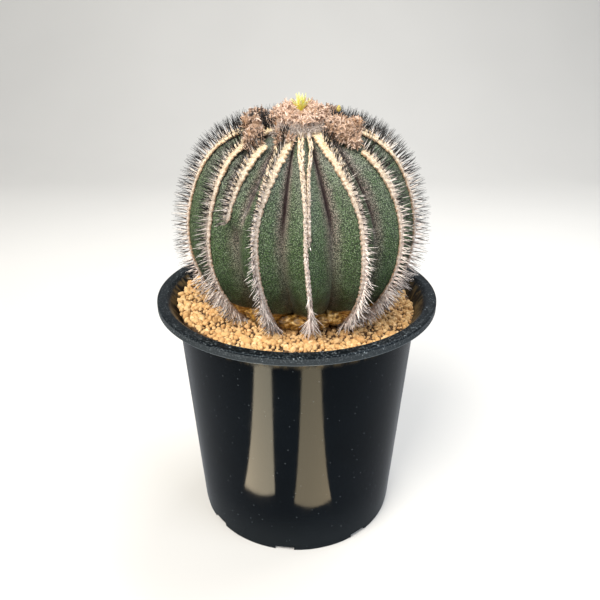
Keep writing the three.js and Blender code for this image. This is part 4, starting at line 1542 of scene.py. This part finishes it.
def petal(turn, foot, tip, inner, outer, width, thickness, seed):
    """Points and faces of one pointed petal, cupped along its middle, and the way along each point."""
    out = np.array([math.sin(turn), -math.cos(turn), 0])
    side = np.array([math.cos(turn), math.sin(turn), 0])
    up = np.array([0, 0, 1.0])
    section = [(-1, 0), (-0.5, 0.5), (0, 0.6), (0.5, 0.5), (1, 0), (0.5, -0.5), (0, -0.5), (-0.5, -0.5)]
    rows = []
    marks = []
    for along in np.linspace(0, 1, 9):
        half = 0.5 * width * (0.55 + 0.9 * along) * (1 - along**3.2) + 0.05
        middle = out * (inner + (outer - inner) * along**1.15) + up * (foot + (tip - foot) * along**0.9)
        slant = out * (1 - along) + up * 0.4
        slant /= np.linalg.norm(slant)
        for x, lift in section:
            cup = 0.35 * half * x * x
            wave = 0.1 * math.sin(9 * along + seed + 2 * x)
            rows.append(middle + side * half * x + out * (wave - cup) + slant * lift * thickness)
            marks.append(along)
    points, faces = closed_tube(np.reshape(rows, (-1, len(section), 3)))
    return points, faces, marks + [0, 1]


def make_petals(row, material, thickness):
    """One row of petals round the flower's middle."""
    shapes = []
    marks = []
    for i in range(row["count"]):
        wobble = 0.12 * math.sin(5.3 * i + 9 * row["shift"])
        turn = 2 * math.pi * (i + row["shift"]) / row["count"] + wobble
        foot = FLOWER.z + row["foot"]
        tip = FLOWER.z + row["tip"] - 4 * abs(wobble)
        outer = row["outer"] + 2 * wobble
        points, faces, along = petal(turn, foot, tip, row["inner"], outer, row["width"], thickness, i)
        shapes.append((points + [FLOWER.x, FLOWER.y, 0], faces))
        marks += along
    petals = closed_object("flower_petals_" + row["name"], *merged(shapes), {"along": marks}, sharp=60)
    nodes = [f"flower_petal_{row['name']}_{i + 1}" for i in range(row["nodes"])]
    finish_piece(petals, material, "petal", *nodes)


def make_flower(s):
    """The open flower with its two rows of petals, green tube, stamens and style."""
    material = petal_finish(s)
    for row in PETAL_ROWS:
        make_petals(row, material, 1000 * s.petal_thickness)
    middle = (FLOWER.x, FLOWER.y, 0)
    turns = np.linspace(0, 2 * np.pi, 20, endpoint=False)
    profile = [(1.0, 199.9), (1.1, 201), (1.2, 202), (1.4, 203.1), (1.5, 203.8), (1.2, 204.1), (0.5, 204)]
    points, faces = closed_tube([circle(radius, height, turns, middle) for radius, height in profile])
    tube = closed_object("flower_tube_green", points, faces, {"along": np.full(len(points), 0.1)})
    finish_piece(tube, material, "petal", "flower_tube")
    stamens = closed_object("flower_stamens", *stamen_mesh(), sharp=60)
    finish_piece(stamens, pollen_finish(s), "petal", "flower_style")


def stamen_mesh():
    """A style with a ring of stamens round it, each ending in a knob."""
    foot = FLOWER.z + 0.2
    stalks = [(0.0, 0.0, foot + 5.8, 0.32, 0.62)]
    for i in range(13):
        turn = 2.4 * i
        top = foot + 4.2 + 0.7 * math.sin(3.1 * i)
        stalks.append((1.1 * math.sin(turn), 1.1 * math.cos(turn), top, 0.13, 0.3))
    turns = np.linspace(0, 2 * np.pi, 6, endpoint=False)
    shapes = []
    for x, y, top, thin, knob in stalks:
        profile = [(thin, foot), (thin, top - 2 * knob), (knob, top - 1.3 * knob), (knob, top - 0.5 * knob)]
        rings = []
        for radius, height in profile + [(0.3 * knob, top)]:
            lean = 0.5 + (height - foot) / 6
            rings.append(circle(radius, height, turns, (FLOWER.x + x * lean, FLOWER.y + y * lean, 0)))
        shapes.append(closed_tube(rings))
    return merged(shapes)


def make_bud(s):
    """The closed bud on the right-hand tuft, ridged like its scales."""
    low, high = (1000 * Vector(corner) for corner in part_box("flower_bud"))
    middle = (low + high) / 2
    turns = np.linspace(0, 2 * np.pi, 24, endpoint=False)
    profile = [
        (0.7, 0), (1.0, 0.1), (1.1, 0.28), (1.08, 0.42), (0.9, 0.6), (0.62, 0.78), (0.32, 0.92), (0.1, 1),
    ]
    rings = []
    for radius, rise in profile:
        ridged = 0.85 * radius * (1 + 0.12 * np.sin(6 * turns + 9 * rise))
        height = low.z + (high.z - low.z) * rise
        rings.append(circle(ridged, height, turns, (middle.x, middle.y, 0)))
    bud = closed_object("flower_bud_scales", *closed_tube(rings))
    finish_piece(bud, bud_finish(s), "bud", "flower_bud")


# ---- studio -------------------------------------------------------------------------------------

# The floor runs back from its front edge to the start of a quarter bend, and up behind.
SWEEP = {"half_width": 2.0, "front": -1.4, "bend_start": 0.7, "bend_radius": 0.5, "top": 1.6}
LOOK_AT = (0, 0, 0.14)
CAMERA = {"place": (3.958, -270.60, 240.954), "pitch": 0.437, "yaw": -0.009, "roll": 0.003}
FILM_WIDTH = 36


def lamp(name, place, target, size, power, colour=(1, 1, 1)):
    """A soft rectangular lamp that faces a target."""
    data = bpy.data.lights.new(name, "AREA")
    data.shape = "RECTANGLE"
    data.size, data.size_y = size
    data.energy = power
    data.color = colour
    obj = bpy.data.objects.new(name, data)
    obj.location = place
    obj.rotation_euler = (Vector(target) - Vector(place)).to_track_quat("-Z", "Y").to_euler()
    obj.visible_camera = False
    bpy.context.scene.collection.objects.link(obj)
    return obj


def strip_lamp(name, start, end, width, power, colour):
    """A narrow lamp lying on the floor, from start to end, that shows only as a gleam on gloss."""
    start, end = Vector((*start, 0.002)), Vector((*end, 0.002))
    middle = (start + end) / 2
    made = lamp(name, middle, middle + Vector((0, 0, 1)), (width, (end - start).length), power, colour)
    made.rotation_euler = (math.pi, 0, math.atan2(end.x - start.x, start.y - end.y))
    made.visible_diffuse = False


def make_floor(s):
    """The pale sweep that the pot stands on. It lights the plant but isn't mirrored in the pot."""
    bend = SWEEP["bend_radius"]
    profile = [(SWEEP["front"], 0.0), (SWEEP["bend_start"], 0.0)]
    for angle in np.radians(np.arange(6, 91, 6)):
        profile.append((SWEEP["bend_start"] + bend * math.sin(angle), bend - bend * math.cos(angle)))
    profile.append((SWEEP["bend_start"] + bend, SWEEP["top"]))
    sides = (-SWEEP["half_width"], SWEEP["half_width"])
    points = [(1000 * x, 1000 * y, 1000 * z) for y, z in profile for x in sides]
    sweep = mesh_object("studio_floor", points, grid_faces(len(profile), 2, looped=False))
    face_up(sweep)
    smooth(sweep)
    sweep.data.materials.append(floor_finish(s))
    sweep.visible_glossy = False


def make_studio(s):
    """The floor, the lamps, the sky and the camera."""
    make_floor(s)
    lamp("key_lamp", (-0.36, -0.5, 0.88), LOOK_AT, (0.6, 0.6), s.key, srgb(255, 250, 242))
    lamp("fill_lamp", (0.8, -0.5, 0.6), LOOK_AT, (0.7, 0.7), s.fill, srgb(236, 243, 255))
    lamp("top_lamp", (0.3, 0.3, 0.95), LOOK_AT, (0.7, 0.5), 1.4 * s.fill)
    strip_lamp("left_strip", (-0.036, -0.066), (-0.092, -0.162), 0.034, s.gleam, srgb(255, 228, 190))
    strip_lamp("right_strip", (0.016, -0.07), (0.046, -0.188), 0.036, 0.8 * s.gleam, srgb(255, 222, 176))
    world = bpy.data.worlds.new("studio_sky")
    world.use_nodes = True
    world.node_tree.nodes.clear()
    sky = {"Color": srgb(236, 240, 245), "Strength": s.sky}
    background = node(world.node_tree, "ShaderNodeBackground", sky)
    node(world.node_tree, "ShaderNodeOutputWorld", {"Surface": background})
    bpy.context.scene.world = world
    bpy.context.scene.view_settings.view_transform = "Standard"
    make_camera(s)


def make_camera(s):
    """The camera, a little over a quarter of a metre away and looking down on the plant."""
    pitch, yaw, roll = CAMERA["pitch"], CAMERA["yaw"], CAMERA["roll"]
    forward = Vector((math.sin(yaw) * math.cos(pitch), math.cos(yaw) * math.cos(pitch), -math.sin(pitch)))
    level = Vector((math.cos(yaw), -math.sin(yaw), 0))
    above = level.cross(forward)
    right = level * math.cos(roll) + above * math.sin(roll)
    up = above * math.cos(roll) - level * math.sin(roll)
    data = bpy.data.cameras.new("camera")
    data.lens = s.lens
    data.sensor_width = FILM_WIDTH
    data.clip_start = 0.01
    camera = bpy.data.objects.new("camera", data)
    turn = Matrix((right, up, -forward)).transposed().to_4x4()
    camera.matrix_world = Matrix.Translation(Vector(CAMERA["place"]) * MM) @ turn
    bpy.context.scene.collection.objects.link(camera)
    bpy.context.scene.camera = camera


# ---- operators ----------------------------------------------------------------------------------


class BuildPot(bpy.types.Operator):
    """Build the nursery pot"""

    bl_idname = "cactus.pot"
    bl_label = "Pot"

    def execute(self, context):
        make_pot(context.scene.cactus_pot)
        return {"FINISHED"}


class BuildSoil(bpy.types.Operator):
    """Finish the potting mix and build the gravel on it"""

    bl_idname = "cactus.soil"
    bl_label = "Mix and gravel"

    def execute(self, context):
        settings = context.scene.cactus_soil
        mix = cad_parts["potting_mix"]
        mix.data.materials.clear()
        mix.data.materials.append(mix_finish(settings))
        make_gravel(settings)
        return {"FINISHED"}


class BuildStem(bpy.types.Operator):
    """Build the ribbed stem"""

    bl_idname = "cactus.stem"
    bl_label = "Stem"

    def execute(self, context):
        make_stem(context.scene.cactus_stem)
        make_cork(context.scene.cactus_stem)
        return {"FINISHED"}


class BuildWool(bpy.types.Operator):
    """Build the wool along the ribs and the hair on the crown"""

    bl_idname = "cactus.wool"
    bl_label = "Wool"

    def execute(self, context):
        make_wool(context.scene.cactus_wool)
        return {"FINISHED"}


class BuildSpines(bpy.types.Operator):
    """Build the combs of spines and the spines on the crown"""

    bl_idname = "cactus.spines"
    bl_label = "Spines"

    def execute(self, context):
        make_spines(context.scene.cactus_spines)
        return {"FINISHED"}


class BuildTufts(bpy.types.Operator):
    """Build the tufts of dried flowers"""

    bl_idname = "cactus.tufts"
    bl_label = "Dried flowers"

    def execute(self, context):
        make_tufts(context.scene.cactus_tufts)
        return {"FINISHED"}


class BuildFlower(bpy.types.Operator):
    """Build the open flower and the bud"""

    bl_idname = "cactus.flower"
    bl_label = "Flower and bud"

    def execute(self, context):
        make_flower(context.scene.cactus_flower)
        make_bud(context.scene.cactus_flower)
        return {"FINISHED"}


class BuildStudio(bpy.types.Operator):
    """Build the floor, the lamps and the camera"""

    bl_idname = "cactus.studio"
    bl_label = "Studio"

    def execute(self, context):
        make_studio(context.scene.cactus_studio)
        return {"FINISHED"}


STEPS = (BuildPot, BuildSoil, BuildStem, BuildWool, BuildSpines, BuildTufts, BuildFlower, BuildStudio)


class CactusPanel(bpy.types.Panel):
    """Lists the pieces and their settings"""

    bl_idname = "VIEW3D_PT_cactus"
    bl_label = "Potted globe cactus"
    bl_space_type = "VIEW_3D"
    bl_region_type = "UI"
    bl_category = "Cactus"

    def draw(self, context):
        layout = self.layout
        for step in STEPS:
            layout.operator(step.bl_idname)
        for name, group in SETTINGS.items():
            box = layout.box()
            box.label(text=group.__doc__)
            for prop in group.__annotations__:
                box.prop(getattr(context.scene, name), prop)


CLASSES = (*SETTINGS.values(), *STEPS, CactusPanel)


def register():
    """Registers the classes and hangs the settings on the scene."""
    for item in CLASSES:
        bpy.utils.register_class(item)
    for name, group in SETTINGS.items():
        setattr(bpy.types.Scene, name, PointerProperty(type=group))


def unregister():
    """Takes the settings and the classes away again."""
    for name in SETTINGS:
        delattr(bpy.types.Scene, name)
    for item in reversed(CLASSES):
        bpy.utils.unregister_class(item)


def main():
    """Builds everything in order."""
    register()
    bpy.ops.cactus.studio()
    bpy.ops.cactus.pot()
    bpy.ops.cactus.soil()
    bpy.ops.cactus.stem()
    bpy.ops.cactus.wool()
    bpy.ops.cactus.spines()
    bpy.ops.cactus.tufts()
    bpy.ops.cactus.flower()


if __name__ == "__main__":
    main()
